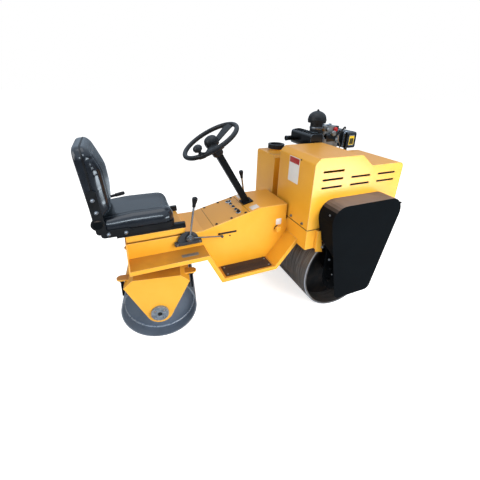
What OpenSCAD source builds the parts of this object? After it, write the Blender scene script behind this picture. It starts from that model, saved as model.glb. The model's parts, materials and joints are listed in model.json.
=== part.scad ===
// Small ride-on road roller: a wide vibrating drum under the engine at the front, and a
// narrow steered drum in a yoke under the seat. +X is forward, +Y is the driver's left.
// Lengths are millimetres. The model is drawn from the front axle and moved to the middle
// of its own box, on the ground.

/* [Front drum] */
// Radius of the front drum
front_drum_r = 280; // [265:1:295]
// Width of the front drum
front_drum_w = 700; // [660:1:740]
// Thickness of the front drum's shell
front_shell_t = 14; // [8:1:20]
// Depth of the end disc inside the front drum's rim
front_recess = 105; // [80:1:130]
// Thickness of the front drum's end discs
front_disc_t = 14; // [10:1:20]
// Radius of the hub on each end disc
front_hub_r = 70; // [60:1:80]
// Length of the hub on each end disc
front_hub_l = 70; // [50:1:90]

/* [Rear drum] */
// Distance from the front axle back to the steering pivot
wheelbase = 1104; // [1080:1:1130]
// Radius of the rear drum
rear_drum_r = 204; // [195:1:210]
// Width of the rear drum
rear_drum_w = 400; // [370:1:410]
// Thickness of the rear drum's shell
rear_shell_t = 7; // [5:1:12]
// Depth of the end disc inside the rear drum's rim
rear_recess = 66; // [50:1:90]
// Thickness of the rear drum's end discs
rear_disc_t = 10; // [6:1:16]
// Radius of the rear axle
rear_axle_r = 20; // [16:1:26]
// Angle that the rear drum is turned at rest, to the left
steer_rest = 10.1; // [0:0.1:20]

/* [Rear yoke] */
// Thickness of the yoke's plates
yoke_t = 12; // [8:1:16]
// Side gap between the yoke and the rear drum
yoke_gap = 14; // [10:1:20]
// Height of the crown's underside over the rear drum
crown_gap = 14; // [10:1:20]
// Half length of the yoke's flat top
yoke_top_half = 122; // [110:1:130]
// Half length of the yoke across its shoulders
yoke_shoulder_half = 170; // [160:1:176]
// Drop of the shoulders below the flat top
yoke_shoulder_drop = 42; // [30:1:55]
// Radius of the yoke plate's foot around the axle
yoke_foot_r = 70; // [60:1:80]
// Radius of the steering pivot pin
kingpin_r = 40; // [30:1:46]
// Outer radius of the steering pivot tube
pivot_tube_r = 68; // [60:1:80]

/* [Scrapers] */
// Reach of the scraper lugs past the yoke's shoulders
lug_reach = 40; // [30:1:44]
// Width of a scraper lug
lug_w = 46; // [36:1:54]
// Thickness of a scraper lug
lug_t = 8; // [6:1:12]
// Thickness of a scraper blade
blade_t = 8; // [5:1:10]
// Running gap between a scraper blade and its drum
blade_gap = 5; // [5:0.5:8]

/* [Console and footwells] */
// Width of the console
console_w = 270; // [250:1:290]
// Reach of the console behind the steering pivot
console_overhang = 161; // [150:1:180]
// Height of the console's low top, behind the slope
console_low_z = 617; // [605:1:630]
// Height of the console's high top, ahead of the slope
console_high_z = 706; // [690:1:720]
// Distance of the slope's front knee behind the front frame
knee_behind = 196; // [180:1:205]
// Thickness of the console's plates
console_t = 6; // [4:1:8]
// Thickness of the console's cover panels
panel_t = 4; // [3:0.5:6]
// Gap between the console's top and the hood
console_gap = 14; // [10:1:20]
// Width of each footwell
footwell_w = 120; // [100:1:140]
// Height of the rear ledge
ledge_z = 525; // [515:1:535]
// Reach of the rear ledge ahead of the steering pivot
ledge_reach = 243; // [240:1:260]
// Height of the footwell's floor
floor_z = 350; // [335:1:365]
// Length of the slope from the ledge down to the floor
riser_run = 87; // [70:1:100]
// Length of the toe board's slope
toe_run = 139; // [120:1:150]
// Rise of the toe board
toe_rise = 169; // [150:1:180]
// Depth of the lip along the footwell's edge
lip_h = 24; // [16:1:30]
// Thickness of the rubber foot mats
mat_t = 4; // [3:0.5:6]

/* [Seat] */
// Length of the seat base on the console
seat_base_l = 301; // [280:1:320]
// Height of the seat base's top
seat_base_z = 656; // [650:1:670]
// Width of the seat
seat_w = 310; // [290:1:340]
// Length of the seat cushion
seat_l = 330; // [310:1:350]
// Thickness of the seat cushion
cushion_t = 64; // [50:1:80]
// Height of the seat's back
back_h = 412; // [380:1:440]
// Thickness of the back's cushion at its foot
back_t = 58; // [50:1:70]
// Thickness of the back's cushion at its top
back_top_t = 26; // [25:1:40]
// Lean of the back
recline = 5; // [3:0.5:12]
// Spacing of the slide rails
rail_spacing = 230; // [210:1:240]

/* [Steering wheel] */
// Radius of the steering wheel
wheel_r = 175; // [165:1:190]
// Radius of the wheel's rim tube
rim_r = 13; // [10:0.5:16]
// Height of the wheel's centre
wheel_z = 1094; // [1070:1:1110]
// Distance of the wheel's centre behind the front axle
wheel_behind = 771; // [760:1:780]
// Lean of the steering column
column_lean = 30.4; // [29:0.1:31.5]
// Side of the square column
column_w = 38; // [34:1:46]

/* [Front frame and hood] */
// Distance of the front frame's rear face behind the front axle
frame_behind = 304; // [300:1:315]
// Distance of the front frame's front face ahead of the front axle
frame_ahead = 370; // [360:1:385]
// Height of the deck over the front drum
deck_over = 54; // [48:1:60]
// Height of the front frame's skirt
skirt_h = 127; // [110:1:140]
// Thickness of the front frame's plates
frame_t = 10; // [8:1:14]
// Width of the hood
hood_w = 359; // [340:1:370]
// Height of the hood
hood_h = 425; // [400:1:440]
// Distance of the hood's slope ahead of the front axle
hood_slope_x = 20; // [0:1:40]
// Run of the hood's slope
hood_slope_run = 88; // [70:1:100]
// Drop of the hood's slope
hood_slope_drop = 68; // [50:1:80]
// Thickness of the hood's sheet
hood_t = 4; // [3:0.5:5]
// Length of a louvre slot
slot_l = 147; // [130:1:155]
// Height of a louvre slot
slot_h = 12.5; // [8:0.5:16]
// Pitch of the louvre slots along the hood
slot_pitch_x = 205; // [195:1:210]
// Pitch of the louvre slots up the hood
slot_pitch_z = 46.5; // [35:0.5:50]

/* [Belt cover] */
// Depth of the belt cover
cover_depth = 119; // [110:1:130]
// Height of the belt cover
cover_h = 641; // [620:1:650]
// Width of the belt cover at its top
cover_top_w = 562; // [540:1:570]
// Width of the belt cover at its foot
cover_foot_w = 277; // [260:1:300]
// Thickness of the belt cover's sheet
cover_t = 3; // [2:0.5:4]
// Radius of the belt cover's top corners
cover_corner_r = 90; // [70:1:100]
// Radius of the drive pulley on the engine's shaft
drive_pulley_r = 62; // [55:1:70]
// Radius of the pulley on the drum's shaft
drum_pulley_r = 80; // [70:1:90]

/* [Water tank] */
// Length of the water tank
tank_l = 205; // [180:1:215]
// Width of the water tank
tank_w = 250; // [230:1:255]
// Height of the water tank
tank_h = 341; // [320:1:360]
// Radius of the filler cap
cap_r = 58; // [50:1:64]

/* [Engine] */
// Height of the engine's shaft over the deck
shaft_over = 100; // [95:1:110]
// Distance of the engine's shaft ahead of the front axle
shaft_ahead = 150; // [140:1:156]
// Width of the crankcase
crankcase_w = 200; // [190:1:210]
// Radius of the cooling fins
fin_r = 84; // [76:1:86]
// Number of cooling fins
fin_n = 9; // [7:1:11]
// Radius of the air cleaner's cap
cleaner_cap_r = 61; // [54:1:66]
// Length of the muffler
muffler_l = 236; // [220:1:245]
// Radius of the exhaust outlet
outlet_r = 16; // [12:0.5:18]
// Length of the exhaust outlet
outlet_l = 55; // [30:1:60]

/* [Hidden] */

$fn = 64;
// Overrun of every cut past the face that it opens
cut = 2;
// Gap between solids that only touch on curved faces
touch_gap = 0.3;
// Radial clearance of a shaft in its bearing
bearing_gap = 0.05;
// Side clearance between moving pieces
side_gap = 8;
// Number of segments on a rounded corner
corner_n = 8;

// Colours
paint = "#f2b233";
black = "#24282b";
vinyl = "#1d1f21";
steel = "#8f969c";
raw_steel = "#55524e";
rubber = "#3b2a24";

// Front frame, worked out from the front drum
deck_z = 2 * front_drum_r + deck_over;
skirt_z = deck_z - skirt_h;
frame_inset = 9;
frame_half = front_drum_w / 2 - frame_inset;
arch_gap = 20;
arch_r = front_drum_r + arch_gap;

// Axle carriers, outside the ends of the front drum
carrier_t = 12;
carrier_in = front_drum_w / 2 + side_gap;
carrier_out = carrier_in + carrier_t;

// Travel motor on the left carrier
motor_l = 75;
motor_flange_t = 14;
motor_end = carrier_out + motor_flange_t + motor_l;

// Yoke of the rear drum
yoke_in = rear_drum_w / 2 + yoke_gap;
yoke_out = yoke_in + yoke_t;
yoke_top_z = 2 * rear_drum_r + crown_gap + yoke_t;
shoulder_z = yoke_top_z - yoke_shoulder_drop;
thrust_t = 8;
thrust_gap = 0.4;
thrust_z = yoke_top_z + thrust_t;

// Console, as distances behind the front axle
console_half = console_w / 2;
console_rear = wheelbase + console_overhang;
console_front = frame_behind + console_gap;
ledge_front = wheelbase - ledge_reach;
floor_rear = ledge_front - riser_run;
floor_front = frame_behind + toe_run;
knee = frame_behind + knee_behind;
slope_rise = (console_high_z - console_low_z) / (ledge_front - knee);
slope_angle = atan(slope_rise);
seam_shares = [0.17, 0.79];
seam_rear = ledge_front - (ledge_front - knee) * seam_shares[0];
seam_front = ledge_front - (ledge_front - knee) * seam_shares[1];
footwell_t = 5;
footwell_out = console_half + footwell_w;
seat_base_front = console_rear - seat_base_l;

// Seat, from the seat base upwards
rail_h = 26;
pan_t = 30;
pan_z = seat_base_z + rail_h;
cushion_z = pan_z + pan_t;
seat_overhang = 80;
seat_rear = console_rear + seat_overhang;
seat_front = seat_rear - seat_l;
seat_half = seat_w / 2;
shell_t = 24;
shell_behind = 20;
back_foot = seat_rear + shell_behind;
back_reach = back_foot + shell_t * cos(recline) + back_h * sin(recline);

// Steering column: its length from the sloping panel up to the wheel's centre
column_l = (wheel_z - console_low_z - slope_rise * (ledge_front - wheel_behind))
    / (cos(column_lean) + slope_rise * sin(column_lean));

column_foot = wheel_behind - column_l * sin(column_lean);
base_plate_half = 34;

// Hood
hood_right = -frame_half;
hood_left = hood_right + hood_w;
hood_z = deck_z + hood_h;
hood_low_z = hood_z - hood_slope_drop;

// Belt cover
cover_out = -frame_half - cover_depth;
cover_rise = 183;
cover_z = deck_z + cover_rise;
cover_mid_x = 23;
cover_taper = (cover_top_w - cover_foot_w) / 2 / cover_h;

// Engine's shaft and its place on the deck
shaft_r = 16;
shaft_z = deck_z + shaft_over;
shaft_hole_r = 26;
engine_clear = 42;
engine_right = hood_left + engine_clear;
engine_mid = engine_right + crankcase_w / 2;
crankcase_h = 190;
crankcase_l = 230;
cylinder_h = 170;
head_h = 70;
head_half = 70;
cylinder_z = deck_z + crankcase_h;
head_z = cylinder_z + cylinder_h;
rocker_z = head_z + head_h;

// Middle of the whole machine's box
origin_x = (frame_ahead - back_reach) / 2;
origin_y = (motor_end + cover_out) / 2;

// Vectors and outlines
function unit(v) = v / norm(v);
function left_of(d) = [-d[1], d[0]];
function mitre(p, q, s, t) =
    let (a = left_of(unit(q - p)), b = left_of(unit(s - q)), m = unit(a + b))
    q + m * t / (m * a);
function reversed(list) = [for (i = [len(list) - 1:-1:0]) list[i]];
// A path moved to its left by t, with mitred corners
function beside(path, t) = [
    for (i = [0:len(path) - 1])
        i == 0 ? path[0] + left_of(unit(path[1] - path[0])) * t
        : i == len(path) - 1 ? path[i] + left_of(unit(path[i] - path[i - 1])) * t
        : mitre(path[i - 1], path[i], path[i + 1], t)
];
// A sheet of thickness t, on the left of a path
function sheet(path, t) = concat(path, reversed(beside(path, t)));
// The same path, moved by t, with its last end cut upright
function beside_upright(path, t) =
    let (last = len(path) - 1, moved = beside(path, t), d = unit(path[last] - path[last - 1]))
    concat([for (i = [0:last - 1]) moved[i]], [path[last] + [0, t / d[0]]]);
function sheet_upright(path, t) = concat(path, reversed(beside_upright(path, t)));
// A closed anticlockwise outline moved inwards by t
function inset(pts, t) = [
    for (i = [0:len(pts) - 1])
        mitre(pts[(i + len(pts) - 1) % len(pts)], pts[i], pts[(i + 1) % len(pts)], t)
];
function turn(a) = a > 180 ? a - 360 : a < -180 ? a + 360 : a;
function arc(c, r, start, sweep) = [
    for (i = [0:corner_n])
        c + r * [cos(start + sweep * i / corner_n), sin(start + sweep * i / corner_n)]
];
// The arc that rounds corner q between p and s
function corner(p, q, s, r) =
    let (u = unit(p - q), v = unit(s - q), half = acos(u * v) / 2)
    let (c = q + unit(u + v) * r / sin(half), d = r / tan(half))
    let (a = q + u * d - c, b = q + v * d - c, start = atan2(a[1], a[0]))
    arc(c, r, start, turn(atan2(b[1], b[0]) - start));
// A closed outline with each corner rounded by its own radius
function rounded(pts, radii) = [
    for (i = [0:len(pts) - 1])
        each radii[i] > 0
            ? corner(pts[(i + len(pts) - 1) % len(pts)], pts[i], pts[(i + 1) % len(pts)], radii[i])
            : [pts[i]]
];
function box_outline(x0, y0, x1, y1) = [[x0, y0], [x1, y0], [x1, y1], [x0, y1]];
function rounded_box(x0, y0, x1, y1, r) = rounded(box_outline(x0, y0, x1, y1), [r, r, r, r]);
// Height of the console's sloping top at a distance behind the front axle
function slope_z(behind) = console_low_z + slope_rise * (ledge_front - behind);
// Left edge of the belt cover at a height
function cover_edge_x(z) = cover_mid_x - cover_top_w / 2 + (cover_z - z) * cover_taper;

// Placing
module place() translate([-origin_x, -origin_y, 0]) children();
// An outline in X and Z, extruded from y0 to y1
module along_y(y0, y1) translate([0, y1, 0]) rotate([90, 0, 0]) linear_extrude(y1 - y0) children();
// An outline in Y and Z, extruded from x0 to x1
module along_x(x0, x1) translate([x0, 0, 0]) rotate([90, 0, 90]) linear_extrude(x1 - x0) children();
// A shaft along Y, from y0 to y1
module shaft_y(r, y0, y1) translate([0, y0, 0]) rotate([-90, 0, 0]) cylinder(r = r, h = y1 - y0);
// A shaft along X, from x0 to x1
module shaft_x(r, x0, x1) translate([x0, 0, 0]) rotate([0, 90, 0]) cylinder(r = r, h = x1 - x0);
// A round rod between two points
module rod(a, b, r) {
    d = b - a;
    translate(a) rotate([0, acos(d[2] / norm(d)), atan2(d[1], d[0])]) cylinder(r = r, h = norm(d));
}
module both_sides() for (side = [0, 1]) mirror([0, side, 0]) children();
module both_ends() for (end = [0, 1]) mirror([end, 0, 0]) children();
module at_front_axle() translate([0, 0, front_drum_r]) children();
module at_pivot() translate([-wheelbase, 0, 0]) rotate([0, 0, -steer_rest]) children();

// A rolling drum about Y: shell, recessed end discs and hubs, bored for its axle
module drum(r, w, shell, recess, disc, hub_r, hub_l, bore_r) {
    rotate([-90, 0, 0]) rotate_extrude($fn = 128) {
        translate([r - shell, -w / 2]) square([shell, w]);
        for (end = [-1, 1]) translate([bore_r, end * (w / 2 - recess - disc / 2)]) {
            translate([0, -disc / 2]) square([r - shell / 2 - bore_r, disc]);
            translate([0, -hub_l / 2]) square([hub_r - bore_r, hub_l]);
        }
    }
}

// Front drum on its carriers
stub_r = 36;
stub_end = front_drum_w / 2 - front_recess - front_disc_t - front_hub_l / 2;
module front_drum() color(raw_steel) place() at_front_axle()
    drum(front_drum_r, front_drum_w, front_shell_t, front_recess, front_disc_t,
        front_hub_r, front_hub_l, stub_r + bearing_gap);

// Hanger plate outside the drum's end: a bar under the deck that runs down to a disc
carrier_disc_r = 150;
carrier_top_half = 160;
carrier_shoulder = 60;
carrier_lip = 8;
module axle_carrier() {
    along_y(-carrier_out, -carrier_in) {
        polygon(rounded([
            [-carrier_top_half, deck_z - carrier_lip], [-carrier_top_half, deck_z - carrier_shoulder],
            [-carrier_disc_r, front_drum_r], [carrier_disc_r, front_drum_r],
            [carrier_top_half, deck_z - carrier_shoulder], [carrier_top_half, deck_z - carrier_lip]
        ], [0, carrier_lip, 0, 0, carrier_lip, 0]));
        translate([0, front_drum_r]) circle(carrier_disc_r, $fn = 96);
    }
    at_front_axle() shaft_y(stub_r, -carrier_in, -stub_end);
}
module axle_carrier_right() color(black) place() axle_carrier();
module axle_carrier_left() color(black) place() mirror([0, 1, 0]) axle_carrier();

// Rubber blocks that hang the carriers from the skirt
buffer_r = 20;
buffer_drop = 28;
buffer_shares = [0.53, 0.84];
module rubber_buffers() color(black) place() both_sides() both_ends()
    for (share = buffer_shares) translate([carrier_top_half * share, 0, deck_z - buffer_drop])
        shaft_y(buffer_r, -carrier_in, -frame_half);

// Hydraulic travel motor with its two ports
motor_r = 52;
motor_flange_r = 70;
motor_port_r = 12;
motor_port_h = 16;
module drive_motor() color(black) place() at_front_axle() {
    shaft_y(motor_flange_r, carrier_out, carrier_out + motor_flange_t);
    shaft_y(motor_r, carrier_out + motor_flange_t, motor_end);
    both_ends() translate([motor_r / 2, motor_end - motor_l / 2, 0])
        cylinder(r = motor_port_r, h = motor_r + motor_port_h);
}

// Box skirt and deck, arched over the drum
module front_frame() color(paint) place() difference() {
    along_y(-frame_half, frame_half) polygon(box_outline(-frame_behind, skirt_z, frame_ahead, deck_z));
    along_y(-frame_half + frame_t, frame_half - frame_t)
        polygon(box_outline(-frame_behind + frame_t, skirt_z - cut, frame_ahead - frame_t, deck_z - frame_t));
    at_front_axle() shaft_y(arch_r, -frame_half - cut, frame_half + cut);
}

// Bent bracket on the skirt, along the belt cover's edge
bracket_w = 19;
bracket_drop = 26;
bracket_slope = 14;
bracket_t = 5;
bracket_top_z = deck_z - bracket_t;
bracket_rear = bracket_w + bracket_t - cover_edge_x(bracket_top_z);
module cover_bracket() color(paint) place() {
    along_y(-carrier_in - bracket_t, -carrier_in) polygon([
        [-bracket_rear, bracket_top_z], [-bracket_rear, skirt_z - bracket_slope],
        [cover_edge_x(skirt_z - bracket_drop) - bracket_t, skirt_z - bracket_drop],
        [cover_edge_x(bracket_top_z) - bracket_t, bracket_top_z]
    ]);
    along_y(-carrier_in, -frame_half)
        polygon(box_outline(-bracket_rear, skirt_z, -bracket_rear + bracket_t, bracket_top_z));
}

// Hood: a bent sheet over the front, slope, top and rear, closed by a side panel at each end
hood_bevel = 32;
hood_bend_r = 20;
hood_front_r = 30;
hood_corners = [
    [frame_ahead, deck_z], [frame_ahead, hood_low_z], [hood_slope_x + hood_slope_run, hood_low_z],
    [hood_slope_x, hood_z], [hood_bevel - frame_behind, hood_z], [-frame_behind, hood_z - hood_bevel],
    [-frame_behind, deck_z]
];
hood_radii = [0, hood_front_r, hood_front_r, hood_front_r, hood_bend_r, hood_bend_r, 0];
hood_hollow = concat(
    [[frame_ahead - hood_t, deck_z - cut]],
    [for (i = [1:len(hood_corners) - 2])
        mitre(hood_corners[i - 1], hood_corners[i], hood_corners[i + 1], hood_t)],
    [[hood_t - frame_behind, deck_z - cut]]
);
module hood_shell() color(paint) place() along_y(hood_right + hood_t, hood_left - hood_t) difference() {
    polygon(rounded(hood_corners, hood_radii));
    polygon(rounded(hood_hollow, hood_radii - [0, hood_t, -hood_t, hood_t, hood_t, hood_t, 0]));
}
slot_first = 246;
slot_top_drop = 78;
module hood_side() difference() {
    polygon(rounded(hood_corners, hood_radii));
    translate([shaft_ahead, shaft_z]) circle(shaft_hole_r);
}
module slot() {
    translate([slot_h / 2, -slot_h / 2]) square([slot_l - slot_h, slot_h]);
    for (x = [slot_h / 2, slot_l - slot_h / 2]) translate([x, 0]) circle(slot_h / 2);
}
module hood_side_right() color(paint) place() along_y(hood_right, hood_right + hood_t) difference() {
    hood_side();
    for (column = [0:2], row = [0:2]) if (column == 0 || row > 0)
        translate([column * slot_pitch_x - slot_first, hood_z - slot_top_drop - row * slot_pitch_z]) slot();
}
module hood_side_left() color(paint) place() along_y(hood_left - hood_t, hood_left) hood_side();

// Belt cover: a tapered pan whose walls reach the hood and stop above the drum
cover_foot_r = 40;
wall_cut_drop = 56;
wall_cut_rise = 76;
cover_corners = [
    [cover_mid_x - cover_foot_w / 2, cover_z - cover_h], [cover_mid_x + cover_foot_w / 2, cover_z - cover_h],
    [cover_mid_x + cover_top_w / 2, cover_z], [cover_mid_x - cover_top_w / 2, cover_z]
];
cover_radii = [cover_foot_r, cover_foot_r, cover_corner_r, cover_corner_r];
module belt_cover() color(black) place() difference() {
    along_y(cover_out, -frame_half) polygon(rounded(cover_corners, cover_radii));
    along_y(cover_out + cover_t, -frame_half + cut)
        polygon(rounded(inset(cover_corners, cover_t), [for (r = cover_radii) r - cover_t]));
    along_x(cover_mid_x - cover_top_w, cover_mid_x + cover_top_w) polygon([
        [cover_out + cover_t, deck_z - wall_cut_drop - wall_cut_rise], [cover_out + cover_t, -cut],
        [-frame_half + cut, -cut], [-frame_half + cut, deck_z - wall_cut_drop]
    ]);
}

// Grooved pulleys on the engine's shaft and on the drum's shaft, and their two belts
pulley_w = 44;
pulley_y = -(carrier_out + cover_t - cover_out) / 2;
groove_depth = 10;
groove_w = 13;
belt_w = 9;
module pulley(r) rotate([-90, 0, 0]) rotate_extrude() difference() {
    translate([0, -pulley_w / 2]) square([r, pulley_w]);
    for (end = [-1, 1]) translate([r - groove_depth, end * pulley_w / 4 - groove_w / 2])
        square([groove_depth + cut, groove_w]);
}
module pulleys() color(steel) place() {
    translate([0, pulley_y, front_drum_r]) pulley(drum_pulley_r);
    at_front_axle() shaft_y(shaft_r, pulley_y, -carrier_out);
    translate([shaft_ahead, pulley_y, shaft_z]) pulley(drive_pulley_r);
    translate([shaft_ahead, 0, shaft_z]) shaft_y(shaft_r, pulley_y, engine_right);
}
module belt_loop(grow) hull() {
    translate([0, front_drum_r]) circle(drum_pulley_r - groove_depth + grow, $fn = 48);
    translate([shaft_ahead, shaft_z]) circle(drive_pulley_r - groove_depth + grow, $fn = 48);
}
module drive_belts() color(black) place()
    for (end = [-1, 1]) translate([0, pulley_y + end * pulley_w / 4, 0])
        along_y(-belt_w / 2, belt_w / 2) difference() {
            belt_loop(touch_gap + belt_w);
            belt_loop(touch_gap);
        }

// Welded water tank with bevelled top edges and a ribbed filler cap
tank_bevel = 14;
tank_left = frame_half - side_gap;
cap_h = 30;
cap_neck_h = 12;
cap_neck_share = 0.8;
cap_x_share = 0.5;
cap_y_share = 0.34;
cap_grip_n = 16;
cap_grip_r = 5;
cap_dish_share = 0.72;
cap_dish_h = 12;
module at_tank_filler()
    translate([tank_l * cap_x_share - frame_behind, tank_left - tank_w * cap_y_share, deck_z + tank_h])
        children();
module water_tank() color(paint) place() {
    along_x(-frame_behind, tank_l - frame_behind) polygon([
        [tank_left - tank_w, deck_z], [tank_left, deck_z], [tank_left, deck_z + tank_h - tank_bevel],
        [tank_left - tank_bevel, deck_z + tank_h], [tank_left - tank_w + tank_bevel, deck_z + tank_h],
        [tank_left - tank_w, deck_z + tank_h - tank_bevel]
    ]);
    at_tank_filler() cylinder(r = cap_r * cap_neck_share, h = cap_neck_h);
}
module tank_cap() color(black) place() at_tank_filler() translate([0, 0, cap_neck_h]) difference() {
    cylinder(r = cap_r, h = cap_h);
    translate([0, 0, cap_h - cap_dish_h]) cylinder(r = cap_r * cap_dish_share, h = cap_dish_h + cut);
    for (i = [0:cap_grip_n - 1]) rotate(i * 360 / cap_grip_n) translate([cap_r + cap_grip_r / 2, 0, -cut])
        cylinder(r = cap_grip_r, h = cap_h + 2 * cut, $fn = 24);
}

// Single-cylinder air-cooled engine on the deck
crankcase_r = 26;
mount_foot_h = 16;
mount_foot_out = 24;
module at_engine() translate([shaft_ahead, engine_mid, 0]) children();
module engine_block() color("#6f7478") place() at_engine() along_y(-crankcase_w / 2, crankcase_w / 2) {
    polygon(rounded_box(-crankcase_l / 2, deck_z, crankcase_l / 2, cylinder_z, crankcase_r));
    polygon(box_outline(-crankcase_l / 2 - mount_foot_out, deck_z,
        crankcase_l / 2 + mount_foot_out, deck_z + mount_foot_h));
}
barrel_share = 0.74;
fin_share = 0.45;
module engine_cylinder() color(steel) place() at_engine() translate([0, 0, cylinder_z]) {
    cylinder(r = fin_r * barrel_share, h = cylinder_h);
    for (i = [0:fin_n - 1]) translate([0, 0, cylinder_h * i / fin_n])
        cylinder(r = fin_r, h = cylinder_h / fin_n * fin_share);
}
rocker_h = 84;
rocker_r = 20;
rocker_half_y = 46;
rocker_half_x = 58;
injector_r = 10;
injector_h = 40;
module head_block(half_x, half_y, h) linear_extrude(h)
    polygon(rounded_box(-half_x, -half_y, half_x, half_y, rocker_r));
module cylinder_head() color("#a7abae") place() at_engine() {
    translate([0, 0, head_z]) head_block(head_half, head_half, head_h);
    translate([0, 0, rocker_z]) head_block(rocker_half_x, rocker_half_y, rocker_h);
    translate([0, -(head_half + rocker_half_y) / 2, rocker_z]) cylinder(r = injector_r, h = injector_h);
}

// Flywheel housing with the recoil starter's slotted cover, on the engine's left end
housing_r = 128;
housing_l = 60;
housing_lift = 34;
starter_r = 86;
starter_l = 18;
vent_n = 12;
vent_in_share = 0.45;
vent_out_share = 0.85;
vent_w = 9;
module flywheel_housing() color(black) place()
    translate([shaft_ahead, engine_right + crankcase_w, shaft_z + housing_lift]) difference() {
        union() {
            shaft_y(housing_r, 0, housing_l);
            shaft_y(starter_r, housing_l, housing_l + starter_l);
        }
        for (i = [0:vent_n - 1]) rotate([0, i * 360 / vent_n, 0])
            translate([starter_r * vent_in_share, housing_l, -vent_w / 2])
                cube([starter_r * (vent_out_share - vent_in_share), starter_l + cut, vent_w]);
    }

// Fuel tank ahead of the cylinder head, on two posts from the deck
fuel_l = 82;
fuel_w = 236;
fuel_h = 116;
fuel_clear = 17;
fuel_over = 356;
fuel_aside = 16;
fuel_r = 16;
post_r = 12;
post_shares = [0.2, 0.8];
fuel_x = shaft_ahead + crankcase_l / 2 + fuel_clear;
fuel_y = engine_right + fuel_aside;
fuel_z = deck_z + fuel_over;
module fuel_tank() color(black) place() {
    along_x(fuel_x, fuel_x + fuel_l)
        polygon(rounded_box(fuel_y, fuel_z, fuel_y + fuel_w, fuel_z + fuel_h, fuel_r));
    for (share = post_shares) translate([fuel_x + fuel_l / 2, fuel_y + fuel_w * share, deck_z])
        cylinder(r = post_r, h = fuel_z - deck_z);
}
fuel_cap_r = 28;
fuel_cap_h = 18;
fuel_cap_share = 0.8;
module fuel_cap() color(black) place()
    translate([fuel_x + fuel_l / 2, fuel_y + fuel_w * fuel_cap_share, fuel_z + fuel_h])
        cylinder(r = fuel_cap_r, h = fuel_cap_h);

// Muffler across the engine's back, carried by a pipe from the head, with its outlet to the rear
muffler_d = 100;
muffler_h = 100;
muffler_r = 22;
muffler_clear = 44;
muffler_aside = 26;
muffler_up = 18;
outlet_up_share = 0.4;
outlet_inset = 26;
exhaust_pipe_r = 15;
pipe_aside_share = 0.5;
muffler_x = shaft_ahead - head_half - muffler_clear - muffler_d;
muffler_y = hood_left + muffler_aside;
muffler_z = head_z + muffler_up;
module muffler() color(black) place() {
    along_y(muffler_y, muffler_y + muffler_l)
        polygon(rounded_box(muffler_x, muffler_z, muffler_x + muffler_d, muffler_z + muffler_h, muffler_r));
    translate([0, muffler_y + muffler_l - outlet_inset, muffler_z + muffler_h * outlet_up_share])
        shaft_x(outlet_r, muffler_x - outlet_l, muffler_x + muffler_r);
    translate([0, engine_mid + head_half * pipe_aside_share, (muffler_z + muffler_r + rocker_z) / 2])
        shaft_x(exhaust_pipe_r, muffler_x + muffler_d - muffler_r, shaft_ahead - head_half);
}

// Mushroom air cleaner over the muffler, on an elbow from the head
cleaner_r = 42;
cleaner_gap = 2;
cleaner_h = 138;
cleaner_back = 28;
cap_from_share = 0.44;
cap_skirt_share = 0.62;
elbow_r = 16;
elbow_gap = 4;
cleaner_x = shaft_ahead - head_half - elbow_gap - elbow_r;
cleaner_y = engine_mid - head_half * pipe_aside_share;
cleaner_z = muffler_z + muffler_h + cleaner_gap;
module air_cleaner() color(black) place() translate([cleaner_x, cleaner_y, 0]) {
    translate([-cleaner_back, 0, cleaner_z]) rotate_extrude() polygon(concat(
        [[0, 0], [cleaner_r, 0], [cleaner_r, cleaner_h * cap_from_share],
            [cleaner_cap_r, cleaner_h * cap_from_share]],
        [for (i = [0:corner_n]) [cleaner_cap_r * cos(90 * i / corner_n),
            cleaner_h * (cap_skirt_share + (1 - cap_skirt_share) * sin(90 * i / corner_n))]]
    ));
    translate([0, 0, head_z + head_h / 2 - elbow_r])
        cylinder(r = elbow_r, h = cleaner_z + cleaner_gap - head_z - head_h / 2 + elbow_r);
    translate([0, 0, head_z + head_h / 2]) shaft_x(elbow_r, 0, shaft_ahead - head_half - cleaner_x);
}

// Footwell strip: ledge, riser, floor and toe board, bent from one plate, with a lip outside
toe_z = floor_z + toe_rise;
footwell_path = [
    [-console_rear, ledge_z], [-ledge_front, ledge_z], [-floor_rear, floor_z],
    [-floor_front, floor_z], [-frame_behind, toe_z]
];
module footwell() {
    along_y(-footwell_out, -console_half) polygon(sheet_upright(footwell_path, -footwell_t));
    along_y(-footwell_out, footwell_t - footwell_out) polygon(sheet_upright(footwell_path, -lip_h));
}
module footwell_right() color(paint) place() footwell();
module footwell_left() color(paint) place() mirror([0, 1, 0]) footwell();
mat_margin = 14;
module foot_mats() color(rubber) place() both_sides() translate([0, 0, floor_z]) linear_extrude(mat_t)
    polygon(rounded_box(-floor_rear + mat_margin, mat_margin - footwell_out,
        -floor_front - mat_margin, -console_half - mat_margin / 2, mat_margin / 2));

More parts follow.
